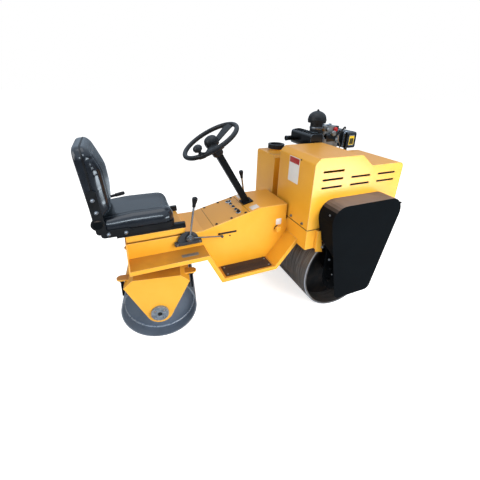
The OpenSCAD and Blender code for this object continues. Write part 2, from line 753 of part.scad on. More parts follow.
// Console: side plates, belly, rear plate and front plate, with the steering pivot's tube below
belly_path = beside_upright(footwell_path, -footwell_t);
top_path = [
    [-console_rear, console_low_z], [-ledge_front, console_low_z],
        [-knee, console_high_z], [-console_front, console_high_z]
];
under_path = beside(top_path, -panel_t);
step_z = deck_z - console_gap;
slot_rear = 770;
slot_len = 109;
rod_slot_h = 10;
rod_slot_z = 577;
module console_side() difference() {
    polygon(concat(belly_path, [[-frame_behind, step_z], [-console_front, step_z]], reversed(under_path)));
    translate([-slot_rear, rod_slot_z - rod_slot_h / 2]) square([slot_len, rod_slot_h]);
}
module rear_frame() color(paint) place() {
    both_sides() along_y(-console_half, console_t - console_half) console_side();
    along_y(console_t - console_half, console_half - console_t) {
        polygon(sheet(belly_path, console_t));
        polygon(box_outline(-frame_behind - console_t, toe_z, -frame_behind, step_z));
    }
    along_x(-console_rear - console_t, -console_rear) polygon([
        [-footwell_out, ledge_z - lip_h], [footwell_out, ledge_z - lip_h], [footwell_out, ledge_z],
        [console_half, console_low_z - panel_t], [-console_half, console_low_z - panel_t],
            [-footwell_out, ledge_z]
    ]);
    translate([-wheelbase, 0, thrust_z + thrust_gap]) difference() {
        cylinder(r = pivot_tube_r, h = ledge_z - footwell_t - thrust_z - thrust_gap);
        translate([0, 0, -cut])
            cylinder(r = kingpin_r + bearing_gap, h = ledge_z - footwell_t - thrust_z - thrust_gap + cut);
    }
}

// Console's cover panels, laid on the side plates
module console_panel(path) color(paint) place() along_y(-console_half, console_half)
    polygon(sheet(path, -panel_t));
module console_panel_rear() console_panel([
    [-seat_base_front, console_low_z], [-ledge_front, console_low_z], [-seam_rear, slope_z(seam_rear)]
]);
module console_panel_middle()
    console_panel([[-seam_rear, slope_z(seam_rear)], [-seam_front, slope_z(seam_front)]]);
module console_panel_front() console_panel([
    [-seam_front, slope_z(seam_front)], [-knee, console_high_z], [-console_front, console_high_z]
]);

// A place on the sloping panel, with Z along the panel's normal
module on_slope(behind, y) translate([-behind, y, slope_z(behind)]) rotate([0, -slope_angle, 0]) children();
switch_gap = 55;
switch_behind = column_foot + base_plate_half + switch_gap;
switch_y_shares = [0.6, 0.28, -0.04, -0.36, -0.66];
switch_rs = [19, 11, 11, 11, 15];
switch_h = 9;
module switch_row() color(black) place() for (i = [0:len(switch_rs) - 1])
    on_slope(switch_behind, console_half * switch_y_shares[i]) cylinder(r = switch_rs[i], h = switch_h);

// Capped knob on the console's right side
knob_behind = 383;
knob_z = 550;
knob_r = 15;
knob_l = 30;
knob_neck_share = 0.6;
module side_knob() color(paint) place() translate([-knob_behind, 0, knob_z]) {
    shaft_y(knob_r * knob_neck_share, -console_half - knob_l / 2, -console_half);
    shaft_y(knob_r, -console_half - knob_l, -console_half - knob_l / 2);
}

// Seat base: a plate over an inset riser
base_plate_t = 30;
base_inset = 14;
module seat_base() color(paint) place() along_x(-console_rear, -seat_base_front) {
    polygon(box_outline(-console_half, seat_base_z - base_plate_t, console_half, seat_base_z));
    polygon(box_outline(base_inset - console_half, console_low_z - panel_t,
        console_half - base_inset, seat_base_z));
}

// Slide rails: a wide lower channel and a narrow upper one
rail_w = 36;
rail_head_share = 0.6;
rail_ahead = 6;
rail_short = 40;
rail_rear = seat_rear - rail_short;
module seat_slides() color(black) place() both_sides() along_x(-rail_rear, rail_ahead - seat_base_front)
    translate([-rail_spacing / 2, seat_base_z]) {
        translate([-rail_w / 2, 0]) square([rail_w, rail_h / 2]);
        translate([-rail_w * rail_head_share / 2, 0]) square([rail_w * rail_head_share, rail_h]);
    }

pan_r = 45;
module seat_pan() color(black) place() translate([0, 0, pan_z]) linear_extrude(pan_t)
    polygon(rounded(box_outline(-seat_rear, -seat_half, -seat_front, seat_half), [0, pan_r, pan_r, 0]));

// Side brackets that hold the back: a foot along the pan and a post up the shell
bracket_foot_l = 130;
bracket_foot_h = 38;
bracket_post_w = 46;
bracket_post_h = 215;
bracket_r = 16;
bracket_foot_out = 6;
bracket_foot_r = 17;
bracket_dip = 9;
knuckle_r = 31;
knuckle_up = 48;
knuckle_behind = 6;
seat_bracket_t = 6;
module at_back() translate([-back_foot, 0, cushion_z]) rotate([0, -recline, 0]) children();
module seat_brackets() color(black) place() both_sides() along_y(-seat_half - seat_bracket_t, -seat_half) {
    polygon(rounded_box(-back_foot - bracket_foot_out, pan_z,
        bracket_foot_l - back_foot, pan_z + bracket_foot_h, bracket_foot_r));
    translate([-back_foot, cushion_z]) rotate(recline) {
        polygon(rounded_box(-shell_t, -bracket_dip, bracket_post_w - shell_t, bracket_post_h, bracket_r));
        translate([bracket_post_w / 2 - shell_t - knuckle_behind, knuckle_up]) circle(knuckle_r, $fn = 48);
    }
}
back_r = 48;
module seat_back_shell() color(black) place() at_back() along_x(-shell_t, 0)
    polygon(rounded(box_outline(-seat_half, 0, seat_half, back_h), [0, 0, back_r, back_r]));
lever_boss_r = 14;
lever_boss_l = 22;
lever_r = 8;
lever_reach = 96;
lever_rise = 16;
lever_up = 48;
module recline_lever() color(black) place()
translate([-back_foot, seat_half + seat_bracket_t + touch_gap, cushion_z]) {
    translate([bracket_post_w / 2 - shell_t, 0, lever_up]) shaft_y(lever_boss_r, 0, lever_boss_l);
    rod([bracket_post_w / 2 - shell_t, lever_boss_l / 2, lever_up],
        [lever_reach, lever_boss_l / 2, lever_up + lever_rise], lever_r);
}

// Cushions, as plain pillows in the space of the real ones; the back's thins out towards its top
pillow_r = 20;
pillow_top_r = 12;
cushion_plan_r = 60;
cushion_gap = 8;
cushion_l = back_foot - cushion_gap - seat_front;
module seat_cushion() color(vinyl) place() translate([-seat_front, 0, cushion_z + touch_gap]) intersection() {
    along_y(-seat_half, seat_half) polygon(rounded_box(-cushion_l, 0, 0, cushion_t, pillow_r));
    linear_extrude(cushion_t) polygon(rounded(box_outline(-cushion_l, -seat_half, 0, seat_half),
        [pillow_r, cushion_plan_r, cushion_plan_r, pillow_r]));
}
pad_gap = 6;
back_up = cushion_t + pad_gap;
back_full_share = 0.66;
back_bend_r = 140;
back_margin = 6;
back_half = seat_half - back_margin;
pad_h = back_h - back_up;
module seat_back_cushion() color(vinyl) place() at_back() translate([touch_gap, 0, back_up]) intersection() {
    along_y(-back_half, back_half) polygon(rounded(
        [[0, 0], [back_t, 0], [back_t, pad_h * back_full_share], [back_top_t, pad_h], [0, pad_h]],
        [pillow_r, pillow_r, back_bend_r, pillow_top_r, pillow_top_r]));
    along_x(0, back_t) polygon(rounded(
        box_outline(-back_half, 0, back_half, pad_h), [pillow_r, pillow_r, back_r, back_r]));
}

// Steering column on its base plate, with a bore at the top for the wheel's shaft
wheel_shaft_r = 14;
column_top_gap = 44;
column_bore = 60;
column_plate_t = 8;
module at_wheel() translate([-wheel_behind, 0, wheel_z]) rotate([0, -column_lean, 0]) children();
module steering_column() color(black) place() {
    difference() {
        at_wheel() translate([0, 0, -column_l - column_w]) linear_extrude(column_l + column_w - column_top_gap)
            square(column_w, center = true);
        at_wheel() translate([0, 0, -column_top_gap - column_bore])
            cylinder(r = wheel_shaft_r + bearing_gap, h = column_bore + cut);
        on_slope(column_foot, 0)
            translate([-column_l, -column_l, -2 * column_l]) cube(2 * column_l);
    }
    on_slope(column_foot, 0) translate([0, 0, column_plate_t / 2])
        cube([2 * base_plate_half, 2 * base_plate_half, column_plate_t], center = true);
}

// Steering wheel: round rim, two flat spokes, hub with a dome, and a spinner knob
hub_r = 40;
hub_h = 24;
dome_h = 30;
spoke_w = 50;
spoke_end_w = 80;
spoke_t = 8;
spoke_angles = [18, 250];
spinner_angle = 232;
spinner_r = 24;
spinner_stem_r = 9;
spinner_h = 40;
dish = 24;
rim_mid_r = wheel_r - rim_r;
module steering_wheel() color(black) place() at_wheel() {
    rotate_extrude($fn = 96) translate([rim_mid_r, 0]) circle(rim_r, $fn = 24);
    translate([0, 0, -dish]) rotate_extrude() polygon(concat(
        [[0, -hub_h / 2], [hub_r, -hub_h / 2]],
        [for (i = [0:corner_n]) [hub_r * cos(90 * i / corner_n), hub_h / 2 + dome_h * sin(90 * i / corner_n)]]
    ));
    for (a = spoke_angles) rotate([0, 0, a]) rotate([0, -atan2(dish, rim_mid_r), 0])
        translate([0, 0, -dish - spoke_t / 2]) linear_extrude(spoke_t)
            polygon([[0, -spoke_w / 2], [rim_mid_r, -spoke_end_w / 2],
                [rim_mid_r, spoke_end_w / 2], [0, spoke_w / 2]]);
    translate([0, 0, -column_top_gap - column_bore + cut])
        cylinder(r = wheel_shaft_r, h = column_top_gap + column_bore - dish);
    rotate(spinner_angle) translate([rim_mid_r, 0, 0]) {
        cylinder(r = spinner_stem_r, h = spinner_h);
        translate([0, 0, spinner_h]) sphere(r = spinner_r);
    }
}

// Travel lever: half-round quadrant on a bar at the console's side, stick and knob
quadrant_ahead = 63;
quadrant_behind = seat_front - quadrant_ahead;
quadrant_z = 578;
quadrant_r = 56;
quadrant_bar_half = 74;
quadrant_bar_h = 18;
quadrant_bar_out = 26;
quadrant_t = 8;
module lever_quadrant() color("#4a4e52") place() translate([-quadrant_behind, 0, quadrant_z]) {
    along_y(-console_half - quadrant_bar_out, -console_half)
        polygon(box_outline(-quadrant_bar_half, -quadrant_bar_h, quadrant_bar_half, 0));
    along_y(quadrant_t - console_half - quadrant_bar_out, 2 * quadrant_t - console_half - quadrant_bar_out)
        polygon(arc([0, 0], quadrant_r, 0, 180));
}
stick_r = 7;
stick_top = [34, 0, 205];
stick_foot = [6, 0, 24];
grip_r = 15;
grip_l = 56;
boss_r = 16;
control_rod_r = 4;
boss_over = 3;
stick_y = -stick_r - boss_over - touch_gap;
rod_eye_r = 8;
slot_pin_r = 5;
rod_end = [quadrant_behind - slot_rear + rod_slot_h, stick_y, rod_slot_z - quadrant_z];
module grip(at, dir) translate(at) rotate([0, acos(dir[2] / norm(dir)), atan2(dir[1], dir[0])])
    rotate_extrude()
    polygon(concat([[0, 0], [grip_r / 2, 0]],
        [for (i = [1:corner_n]) [grip_r * sin(90 * i / corner_n) / 2 + grip_r / 2, grip_l * i / corner_n / 3]],
        [for (i = [0:corner_n])
            [grip_r * cos(90 * i / corner_n), grip_l - grip_r + grip_r * sin(90 * i / corner_n)]]));
module travel_lever() color(black) place()
    translate([-quadrant_behind, quadrant_t - console_half - quadrant_bar_out, quadrant_z]) {
        translate(stick_foot) shaft_y(boss_r, 2 * stick_y, -touch_gap);
        translate([0, stick_y, 0]) {
            rod(stick_foot, stick_top + unit(stick_top - stick_foot) * grip_l / 2, stick_r);
            grip(stick_top, stick_top - stick_foot);
        }
        rod(stick_foot + [0, stick_y, 0], rod_end, control_rod_r);
        translate([rod_end[0], 0, rod_end[2]]) {
            shaft_y(rod_eye_r, stick_y - control_rod_r - boss_over, stick_y + control_rod_r + boss_over);
            shaft_y(slot_pin_r, stick_y, quadrant_bar_out - quadrant_t + console_t);
        }
    }

// Throttle lever on the console's left side
throttle_behind = 484;
throttle_z = 640;
throttle_top = [-26, 0, 164];
throttle_boss_l = 14;
module throttle_lever() color(black) place() translate([-throttle_behind, console_half, throttle_z]) {
    shaft_y(boss_r, 0, throttle_boss_l);
    translate([0, throttle_boss_l / 2, 0]) {
        rod([0, 0, 0], throttle_top + unit(throttle_top) * grip_l / 2, stick_r);
        grip(throttle_top, throttle_top);
    }
}

// Rear yoke: two tapered plates, a bent crown, the pivot pin and the scraper lugs
tangent_angle = atan2(shoulder_z - rear_drum_r, yoke_shoulder_half)
    - acos(yoke_foot_r / norm([yoke_shoulder_half, shoulder_z - rear_drum_r]));
yoke_shoulders = [[-yoke_shoulder_half, shoulder_z], [-yoke_top_half, yoke_top_z],
    [yoke_top_half, yoke_top_z], [yoke_shoulder_half, shoulder_z]];
kingpin_top_gap = 4;
lug_up_share = 0.3;
lug_z = shoulder_z + yoke_shoulder_drop * lug_up_share;
lug_root = yoke_shoulder_half - (yoke_shoulder_half - yoke_top_half) * lug_up_share - yoke_t;
lug_aside = 70;
module rear_yoke() color(paint) place() at_pivot() {
    both_sides() along_y(-yoke_out, -yoke_in) polygon(concat(
        reversed(yoke_shoulders),
            arc([0, rear_drum_r], yoke_foot_r, 180 - tangent_angle, 180 + 2 * tangent_angle)));
    along_y(-yoke_in, yoke_in) polygon(sheet(yoke_shoulders, -yoke_t));
    translate([0, 0, yoke_top_z]) {
        cylinder(r = pivot_tube_r, h = thrust_t);
        cylinder(r = kingpin_r, h = ledge_z - footwell_t - kingpin_top_gap - yoke_top_z);
    }
    both_sides() both_ends() translate([0, lug_aside - yoke_out, lug_z]) linear_extrude(lug_t) {
        translate([lug_root, -lug_w / 2])
            square([yoke_shoulder_half + lug_reach - lug_w / 2 - lug_root, lug_w]);
        translate([yoke_shoulder_half + lug_reach - lug_w / 2, 0]) circle(lug_w / 2);
    }
}
module rear_axle() color(steel) place() at_pivot() translate([0, 0, rear_drum_r])
    shaft_y(rear_axle_r, -yoke_in, yoke_in);

flange_r = 47;
flange_t = 14;
flange_hole_share = 0.2;
module bearing_flanges() color(steel) place() at_pivot() both_sides() translate([0, 0, rear_drum_r])
    difference() {
        shaft_y(flange_r, -yoke_out - flange_t, -yoke_out);
        shaft_y(flange_r * flange_hole_share, -yoke_out - flange_t - cut, -yoke_out - flange_t / 2);
    }

// Scraper blades hung from the lugs on two ears, just off the drum
blade_out = 14;
blade_h = 26;
blade_x = yoke_shoulder_half + blade_out - blade_t / 2;
blade_z = rear_drum_r + sqrt(pow(rear_drum_r + blade_gap, 2) - pow(blade_x, 2));
blade_half = yoke_out - lug_aside + lug_w / 2;
ear_in = blade_half - lug_w;
module rear_scrapers() color(black) place() at_pivot() both_ends() along_x(blade_x, blade_x + blade_t)
    polygon([
        [-blade_half, blade_z], [blade_half, blade_z], [blade_half, lug_z], [ear_in, lug_z],
        [ear_in, blade_z + blade_h], [-ear_in, blade_z + blade_h], [-ear_in, lug_z], [-blade_half, lug_z]
    ]);

rear_hub_r = 46;
rear_hub_l = 60;
module rear_drum() color(steel) place() at_pivot() translate([0, 0, rear_drum_r])
    drum(rear_drum_r, rear_drum_w, rear_shell_t, rear_recess, rear_disc_t,
        rear_hub_r, rear_hub_l, rear_axle_r + bearing_gap);

front_drum();
axle_carrier_right();
axle_carrier_left();
rubber_buffers();
drive_motor();
front_frame();
cover_bracket();
hood_shell();
hood_side_right();
hood_side_left();
belt_cover();
pulleys();
drive_belts();
water_tank();
tank_cap();
engine_block();
engine_cylinder();
cylinder_head();
flywheel_housing();
fuel_tank();
fuel_cap();
muffler();
air_cleaner();
rear_frame();
console_panel_rear();
console_panel_middle();
console_panel_front();
switch_row();
footwell_right();
footwell_left();
foot_mats();
side_knob();
seat_base();
seat_slides();
seat_pan();
seat_brackets();
seat_back_shell();
recline_lever();
seat_cushion();
seat_back_cushion();
steering_column();
steering_wheel();
lever_quadrant();
travel_lever();
throttle_lever();
rear_yoke();
rear_axle();
bearing_flanges();
rear_scrapers();
rear_drum();
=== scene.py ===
# A small ride-on road roller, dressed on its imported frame. Lengths are metres unless a name says mm.
import json

import bmesh
import bpy
import numpy as np
from mathutils import Matrix, Vector


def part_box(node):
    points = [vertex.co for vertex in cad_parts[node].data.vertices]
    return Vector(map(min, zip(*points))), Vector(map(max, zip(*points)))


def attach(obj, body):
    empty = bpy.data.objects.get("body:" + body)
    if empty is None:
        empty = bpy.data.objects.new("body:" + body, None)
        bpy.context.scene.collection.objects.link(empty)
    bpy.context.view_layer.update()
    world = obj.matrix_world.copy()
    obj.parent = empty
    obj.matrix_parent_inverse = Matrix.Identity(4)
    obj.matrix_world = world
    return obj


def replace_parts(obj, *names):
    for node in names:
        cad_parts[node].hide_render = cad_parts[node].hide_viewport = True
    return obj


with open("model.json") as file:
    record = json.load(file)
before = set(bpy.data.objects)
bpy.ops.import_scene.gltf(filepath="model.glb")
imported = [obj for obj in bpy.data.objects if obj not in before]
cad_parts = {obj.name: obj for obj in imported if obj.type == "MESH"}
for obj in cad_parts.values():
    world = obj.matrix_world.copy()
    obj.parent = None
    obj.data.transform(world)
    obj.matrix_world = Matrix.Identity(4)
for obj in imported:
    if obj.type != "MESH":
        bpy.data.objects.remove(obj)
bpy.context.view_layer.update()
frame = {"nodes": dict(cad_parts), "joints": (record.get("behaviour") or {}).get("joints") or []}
nodes = frame["nodes"]
joints = {joint["name"]: joint for joint in frame["joints"]}
scene = bpy.context.scene

# Measuring point: the front axle's middle, straight down on the ground.
# Places on the machine are read off from there in millimetres, forward, left and up.
axle_foot = np.mean(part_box("front_drum"), axis=0) * (1, 1, 0)


def spot(ahead_mm, left_mm, up_mm):
    """A place on the machine: millimetres from the measuring point, as metres in the frame."""
    return np.stack(np.broadcast_arrays(ahead_mm, left_mm, up_mm), -1) / 1000 + axle_foot


# Camera: a short lens at the machine's right rear, a little over the driver's head,
# looking down along the console. The picture's true centre is above the frame's middle.
camera_yaw, camera_pitch, camera_roll = np.radians((65.5, 22.6, -2.0))
focal_px, frame_px, centre_px = 287.0, 480, np.array([242.2, 199.8])
camera_data = bpy.data.cameras.new("camera")
camera_data.sensor_width = 36
camera_data.lens = camera_data.sensor_width * focal_px / frame_px
camera_data.shift_x, camera_data.shift_y = (centre_px / frame_px - 0.5) * (-1, 1)
camera = bpy.data.objects.new("camera", camera_data)
camera.location = spot(-1257.3, -1516.2, 1405.5)
look = np.array([np.cos(camera_pitch) * np.cos(camera_yaw), np.cos(camera_pitch) * np.sin(camera_yaw),
                 -np.sin(camera_pitch)])
level = np.array([np.sin(camera_yaw), -np.cos(camera_yaw), 0])
down = np.cross(look, level)
across = level * np.cos(camera_roll) + down * np.sin(camera_roll)
upward = level * np.sin(camera_roll) - down * np.cos(camera_roll)
camera.rotation_euler = Matrix(np.column_stack([across, upward, -look])).to_euler()
scene.collection.objects.link(camera)
scene.camera = camera
scene.view_settings.view_transform = "Standard"


# Studio: a white seamless floor under even white light that is brightest overhead, with a broad
# soft lamp on the machine's right, weaker ones above and behind it, and three that show in gloss alone.
def linear(hex_colour):
    """An sRGB hex colour as linear red, green, blue and alpha."""
    srgb = np.array([int(hex_colour[i:i + 2], 16) for i in (1, 3, 5)]) / 255
    return (*np.where(srgb <= 0.04045, srgb / 12.92, ((srgb + 0.055) / 1.055) ** 2.4), 1.0)


def add(tree, kind, values=(), **settings):
    """Adds a node with settings and gives each input its value, or a link from a socket or a node's live output."""
    node = tree.nodes.new("ShaderNode" + kind)
    for name, value in settings.items():
        setattr(node, name, value)
    for name, value in dict(values).items():
        if isinstance(value, bpy.types.Node):
            value = next(socket for socket in value.outputs if socket.enabled)
        if isinstance(value, bpy.types.NodeSocket):
            tree.links.new(value, node.inputs[name])
        else:
            node.inputs[name].default_value = value
    return node


def new_finish(name):
    """A new material, its empty node tree, and the object coordinates that its patterns read."""
    material = bpy.data.materials.new(name)
    material.use_nodes = True
    tree = material.node_tree
    tree.nodes.clear()
    return material, tree, add(tree, "TexCoord").outputs["Object"]


def seen_directly(tree):
    """1 for what the camera sees, straight or through glass, and 0 for light on its way to a surface."""
    path = add(tree, "LightPath").outputs
    return add(tree, "Math", {0: path["Is Camera Ray"], 1: path["Is Transmission Ray"]}, operation="MAXIMUM")


smooth, rgba = {"interpolation_type": "SMOOTHSTEP"}, {"data_type": "RGBA"}
white = linear("#ffffff")
room_light, mirror_low, mirror_high = 0.38, 0.3, 1.5
world = bpy.data.worlds.new("studio")
scene.world = world
world.use_nodes = True
room_tree = world.node_tree
room_tree.nodes.clear()
direction = add(room_tree, "SeparateXYZ", {0: add(room_tree, "TexCoord").outputs["Generated"]}).outputs
overhead = add(room_tree, "MapRange", {0: direction["Z"], 1: -0.1, 2: 0.75, 3: mirror_low, 4: mirror_high}, **smooth)
mirrored = add(room_tree, "LightPath").outputs["Is Glossy Ray"]
lit = add(room_tree, "MapRange", {0: mirrored, 3: room_light, 4: overhead})
room = add(room_tree, "MapRange", {0: seen_directly(room_tree), 3: lit, 4: 1.0})
tint = add(room_tree, "Mix", {0: mirrored, 6: white, 7: linear("#cfe0f3")}, **rgba)
add(room_tree, "OutputWorld", {"Surface": add(room_tree, "Background", {"Color": tint, "Strength": room})})

floor_half, floor_glow = 30, 0.7
floor_mesh = bpy.data.meshes.new("floor")
floor_mesh.from_pydata([(x * floor_half, y * floor_half, 0) for x, y in ((-1, -1), (1, -1), (1, 1), (-1, 1))], [],
                       [(0, 1, 2, 3)])
floor = bpy.data.objects.new("floor", floor_mesh)
scene.collection.objects.link(floor)
floor_paint, floor_tree, _ = new_finish("matt_white_floor")
glow = add(floor_tree, "Math", {0: seen_directly(floor_tree), 1: floor_glow}, operation="MULTIPLY")
floor_tone = add(floor_tree, "Mix", {0: add(floor_tree, "LightPath").outputs["Is Glossy Ray"],
                                     6: linear("#fafafa"), 7: linear("#959ba3")}, **rgba)
floor_shader = add(floor_tree, "BsdfPrincipled", {"Base Color": floor_tone, "Roughness": 0.9, "Emission Color": white,
                                                  "Emission Strength": glow})
add(floor_tree, "OutputMaterial", {"Surface": floor_shader})
floor_mesh.materials.append(floor_paint)

machine_middle = spot(-500, 0, 550)
seat_middle = spot(-1300, -100, 880)
gloss_tint = (0.78, 0.9, 1.0)
for lamp_name, lamp_place, aim, lamp_size, watts, gloss_only in (
        ("right_softbox", (1000, -3300, 2200), machine_middle, (2.6, 2.6), 174, False),
        ("top_softbox", (-900, -200, 3900), machine_middle, (2.4, 2.4), 25, False),
        ("rear_softbox", (-3800, -300, 1900), machine_middle, (2.2, 2.2), 42, False),
        ("low_strip", (700, -1900, 350), seat_middle, (1.6, 0.6), 36, True),
        ("side_strip", (-1300, -3200, 2300), seat_middle, (1.8, 0.5), 34, True),
        ("left_board", (0, 1900, 8), spot(0, 1900, 1000), (4.0, 2.6), 20, True)):
    lamp_data = bpy.data.lights.new(lamp_name, "AREA")
    lamp_data.shape = "RECTANGLE"
    lamp_data.size, lamp_data.size_y = lamp_size
    lamp_data.energy = watts
    lamp_data.color = gloss_tint if gloss_only else white[:3]
    lamp = bpy.data.objects.new(lamp_name, lamp_data)
    lamp.location = spot(*lamp_place)
    lamp.rotation_euler = Vector(aim - spot(*lamp_place)).to_track_quat("-Z", "Y").to_euler()
    lamp.visible_diffuse = lamp.visible_camera = not gloss_only
    lamp.visible_glossy = lamp_name != "right_softbox"
    scene.collection.objects.link(lamp)


# Front drum: a wide tube of raw rolled plate with welded end discs, left bare. Ground contact
# streaks it round and round and keeps the rims bright, and the recessed ends are painted nearly black, a painted
# shade.
def coat(finish, *names):
    """Gives CAD nodes their finish."""
    for name in names:
        for material_slot in nodes[name].material_slots:
            material_slot.material = finish


def drum_finish(name, joint, radius_mm, half_mm, shell_mm, shell_tones, end_tone, rim_tone, metallic):
    """Rolled drum plate: streaks round the axle, bright worn rims, and its own tone on the recessed ends: on the
    front drum a painted shade for the recess.

    The distance along the axle is (place - centre) . axis, and the distance from it is the length of
    (place - centre) less its part along the axle.
    """
    material, tree, place = new_finish(name)
    axis = tuple(joints[joint]["axis"])
    arm = add(tree, "VectorMath", {0: place, 1: tuple(joints[joint]["pos_m"])}, operation="SUBTRACT")
    along = add(tree, "VectorMath", {0: arm, 1: axis}, operation="DOT_PRODUCT")
    on_axle = add(tree, "VectorMath", {0: axis, "Scale": along}, operation="SCALE")
    off_axle = add(tree, "VectorMath", {0: arm, 1: on_axle}, operation="SUBTRACT")
    out = add(tree, "VectorMath", {0: off_axle}, operation="LENGTH")
    reach = add(tree, "Math", {0: along}, operation="ABSOLUTE")
    # The streaks are drawn wider than real ones, which are too fine to show.
    streak_mm, patch_mm, stain_mm = 6, 160, 80
    drawn = add(tree, "VectorMath", {0: on_axle, 1: (patch_mm / streak_mm,) * 3, 2: arm}, operation="MULTIPLY_ADD")
    streaks = add(tree, "TexNoise", {"Vector": drawn, "Scale": 1000 / patch_mm, "Detail": 6, "Roughness": 0.62})
    stains = add(tree, "TexNoise", {"Vector": place, "Scale": 1000 / stain_mm, "Detail": 5, "Roughness": 0.7})
    # Where each tone shows: a pattern or a distance in metres, the span it grows over, and the most of it there.
    inner_mm = radius_mm - shell_mm
    streaked, stained, outside, faded, rim, edge = (
        add(tree, "MapRange", {0: measure, 1: start, 2: stop, 4: most}, **smooth) for measure, start, stop, most in (
            (streaks, 0.35, 0.68, 1), (stains, 0.5, 0.75, 0.55),
            (out, (inner_mm - 1) / 1000, (inner_mm + 1) / 1000, 1), (stains, 0.4, 0.7, 0.2),
            (reach, (half_mm - 8) / 1000, (half_mm - 2) / 1000, 1),
            (out, (radius_mm - 7) / 1000, (radius_mm - 3) / 1000, 1)))
    worn = add(tree, "Math", {0: rim, 1: edge}, operation="MULTIPLY")
    dark, light, stain = (linear(tone) for tone in shell_tones)
    bare = add(tree, "Mix", {0: streaked, 6: dark, 7: light}, **rgba)
    bare = add(tree, "Mix", {0: stained, 6: bare, 7: stain}, **rgba)
    # On the front drum the end tone is painted shade for the inside of its recess.
    ends = add(tree, "Mix", {0: faded, 6: linear(end_tone), 7: stain}, **rgba)
    plate = add(tree, "Mix", {0: outside, 6: ends, 7: bare}, **rgba)
    colour = add(tree, "Mix", {0: worn, 6: plate, 7: linear(rim_tone)}, **rgba)
    rough = add(tree, "MapRange", {0: streaks, 1: 0.3, 2: 0.7, 3: 0.34, 4: 0.56}, **smooth)
    soft = add(tree, "Bevel", {"Radius": 0.003}, samples=4)
    relief = add(tree, "Bump", {"Height": streaks, "Distance": 0.0006, "Strength": 0.5, "Normal": soft})
    shader = add(tree, "BsdfPrincipled", {"Base Color": colour, "Roughness": rough, "Metallic": metallic,
                                          "Normal": relief})
    add(tree, "OutputMaterial", {"Surface": shader})
    return material


# Raw rolled steel: grey and brown in streaks, half dull, with bright edges; its end discs nearly black, painted
# shade.
rolled_steel = drum_finish("raw_rolled_steel", "front_drum_roll", radius_mm=280, half_mm=350, shell_mm=14,
                           shell_tones=("#4a4745", "#858280", "#6b5644"), end_tone="#0f1012", rim_tone="#a3a9b2",
                           metallic=0.4)
coat(rolled_steel, "front_drum")


# Axle carriers: black plates beside the drum's ends, hung from the deck on rubber blocks.
# A ring of bolts holds each bearing housing, and the travel motor is on the left one.
def weathered(name, tones, rough, cloud_mm=140, grain_mm=3.0, grain_depth_mm=0.06, edge_mm=1.6, edge_tone=None,
              dust_and_shade_tone=None, dust=0.0, **values):
    """A finish whose tone drifts between two colours in soft clouds, with a fine grain in its relief.

    Its edges are rounded off and take another tone, by how far the rounded normal leans from the flat one: a painted
    highlight, on some finishes also wear. What faces up takes a dust tone, on the enamels also painted shade.
    Further values are the shader's own, by name.
    """
    material, tree, place = new_finish(name)
    clouds = add(tree, "TexNoise", {"Vector": place, "Scale": 1000 / cloud_mm, "Detail": 5, "Roughness": 0.6})
    drift = add(tree, "MapRange", {0: clouds, 1: 0.3, 2: 0.7}, **smooth)
    colour = add(tree, "Mix", {0: drift, 6: linear(tones[0]), 7: linear(tones[1])}, **rgba)
    soft = add(tree, "Bevel", {"Radius": edge_mm / 1000}, samples=4)
    flat = add(tree, "NewGeometry").outputs["Normal"]
    # What faces up takes the dust tone: dust, and on the enamels also painted shade.
    if dust:
        facing = add(tree, "SeparateXYZ", {0: flat}).outputs["Z"]
        lying = add(tree, "MapRange", {0: facing, 1: 0.55, 2: 1.0, 4: dust}, **smooth)
        patchy = add(tree, "MapRange", {0: clouds, 1: 0.2, 2: 0.6, 3: 0.6}, **smooth)
        dust_and_shade = add(tree, "Math", {0: lying, 1: patchy}, operation="MULTIPLY")
        colour = add(tree, "Mix", {0: dust_and_shade, 6: colour, 7: linear(dust_and_shade_tone)}, **rgba)
    # The edges take a painted highlight, on some finishes also wear.
    if edge_tone:
        lean = add(tree, "VectorMath", {0: soft, 1: flat}, operation="DOT_PRODUCT")
        leaning = add(tree, "MapRange", {0: lean, 1: 0.985, 2: 0.86, 4: 0.75}, **smooth)
        patchy = add(tree, "MapRange", {0: clouds, 1: 0.35, 2: 0.6, 3: 0.3}, **smooth)
        edge_wear_and_highlight = add(tree, "Math", {0: leaning, 1: patchy}, operation="MULTIPLY")
        colour = add(tree, "Mix", {0: edge_wear_and_highlight, 6: colour, 7: linear(edge_tone)}, **rgba)
    roughness = add(tree, "MapRange", {0: clouds, 1: 0.3, 2: 0.7, 3: rough[0], 4: rough[1]}, **smooth)
    # The grain is drawn coarser than the real one, which is too fine to show.
    grain = add(tree, "TexNoise", {"Vector": place, "Scale": 1000 / grain_mm, "Detail": 2})
    relief = add(tree, "Bump", {"Height": grain, "Distance": grain_depth_mm / 1000, "Strength": 0.6, "Normal": soft})
    more = {key.replace("_", " ").title().replace("Ior", "IOR"): value for key, value in values.items()}
    shader = add(tree, "BsdfPrincipled", {"Base Color": colour, "Roughness": roughness, "Normal": relief, **more})
    add(tree, "OutputMaterial", {"Surface": shader})
    return material


def grid_faces(rows, columns):
    """Quads between neighbouring points of a grid whose columns run round and close."""
    index = np.arange(rows * columns).reshape(rows, columns)
    index = np.hstack([index, index[:, :1]])
    return np.stack([index[:-1, :-1], index[:-1, 1:], index[1:, 1:], index[1:, :-1]], -1).reshape(-1, 4)


def unit(vectors):
    """Vectors divided by their lengths."""
    return vectors / np.linalg.norm(vectors, axis=-1, keepdims=True)


def turns(count):
    """Angles that go once round in equal steps."""
    return np.linspace(0, 2 * np.pi, count, endpoint=False)


def around(angle, first, second):
    """Directions at angles from one axis towards another: cos(angle) * first + sin(angle) * second."""
    return np.cos(angle)[..., None] * first + np.sin(angle)[..., None] * second


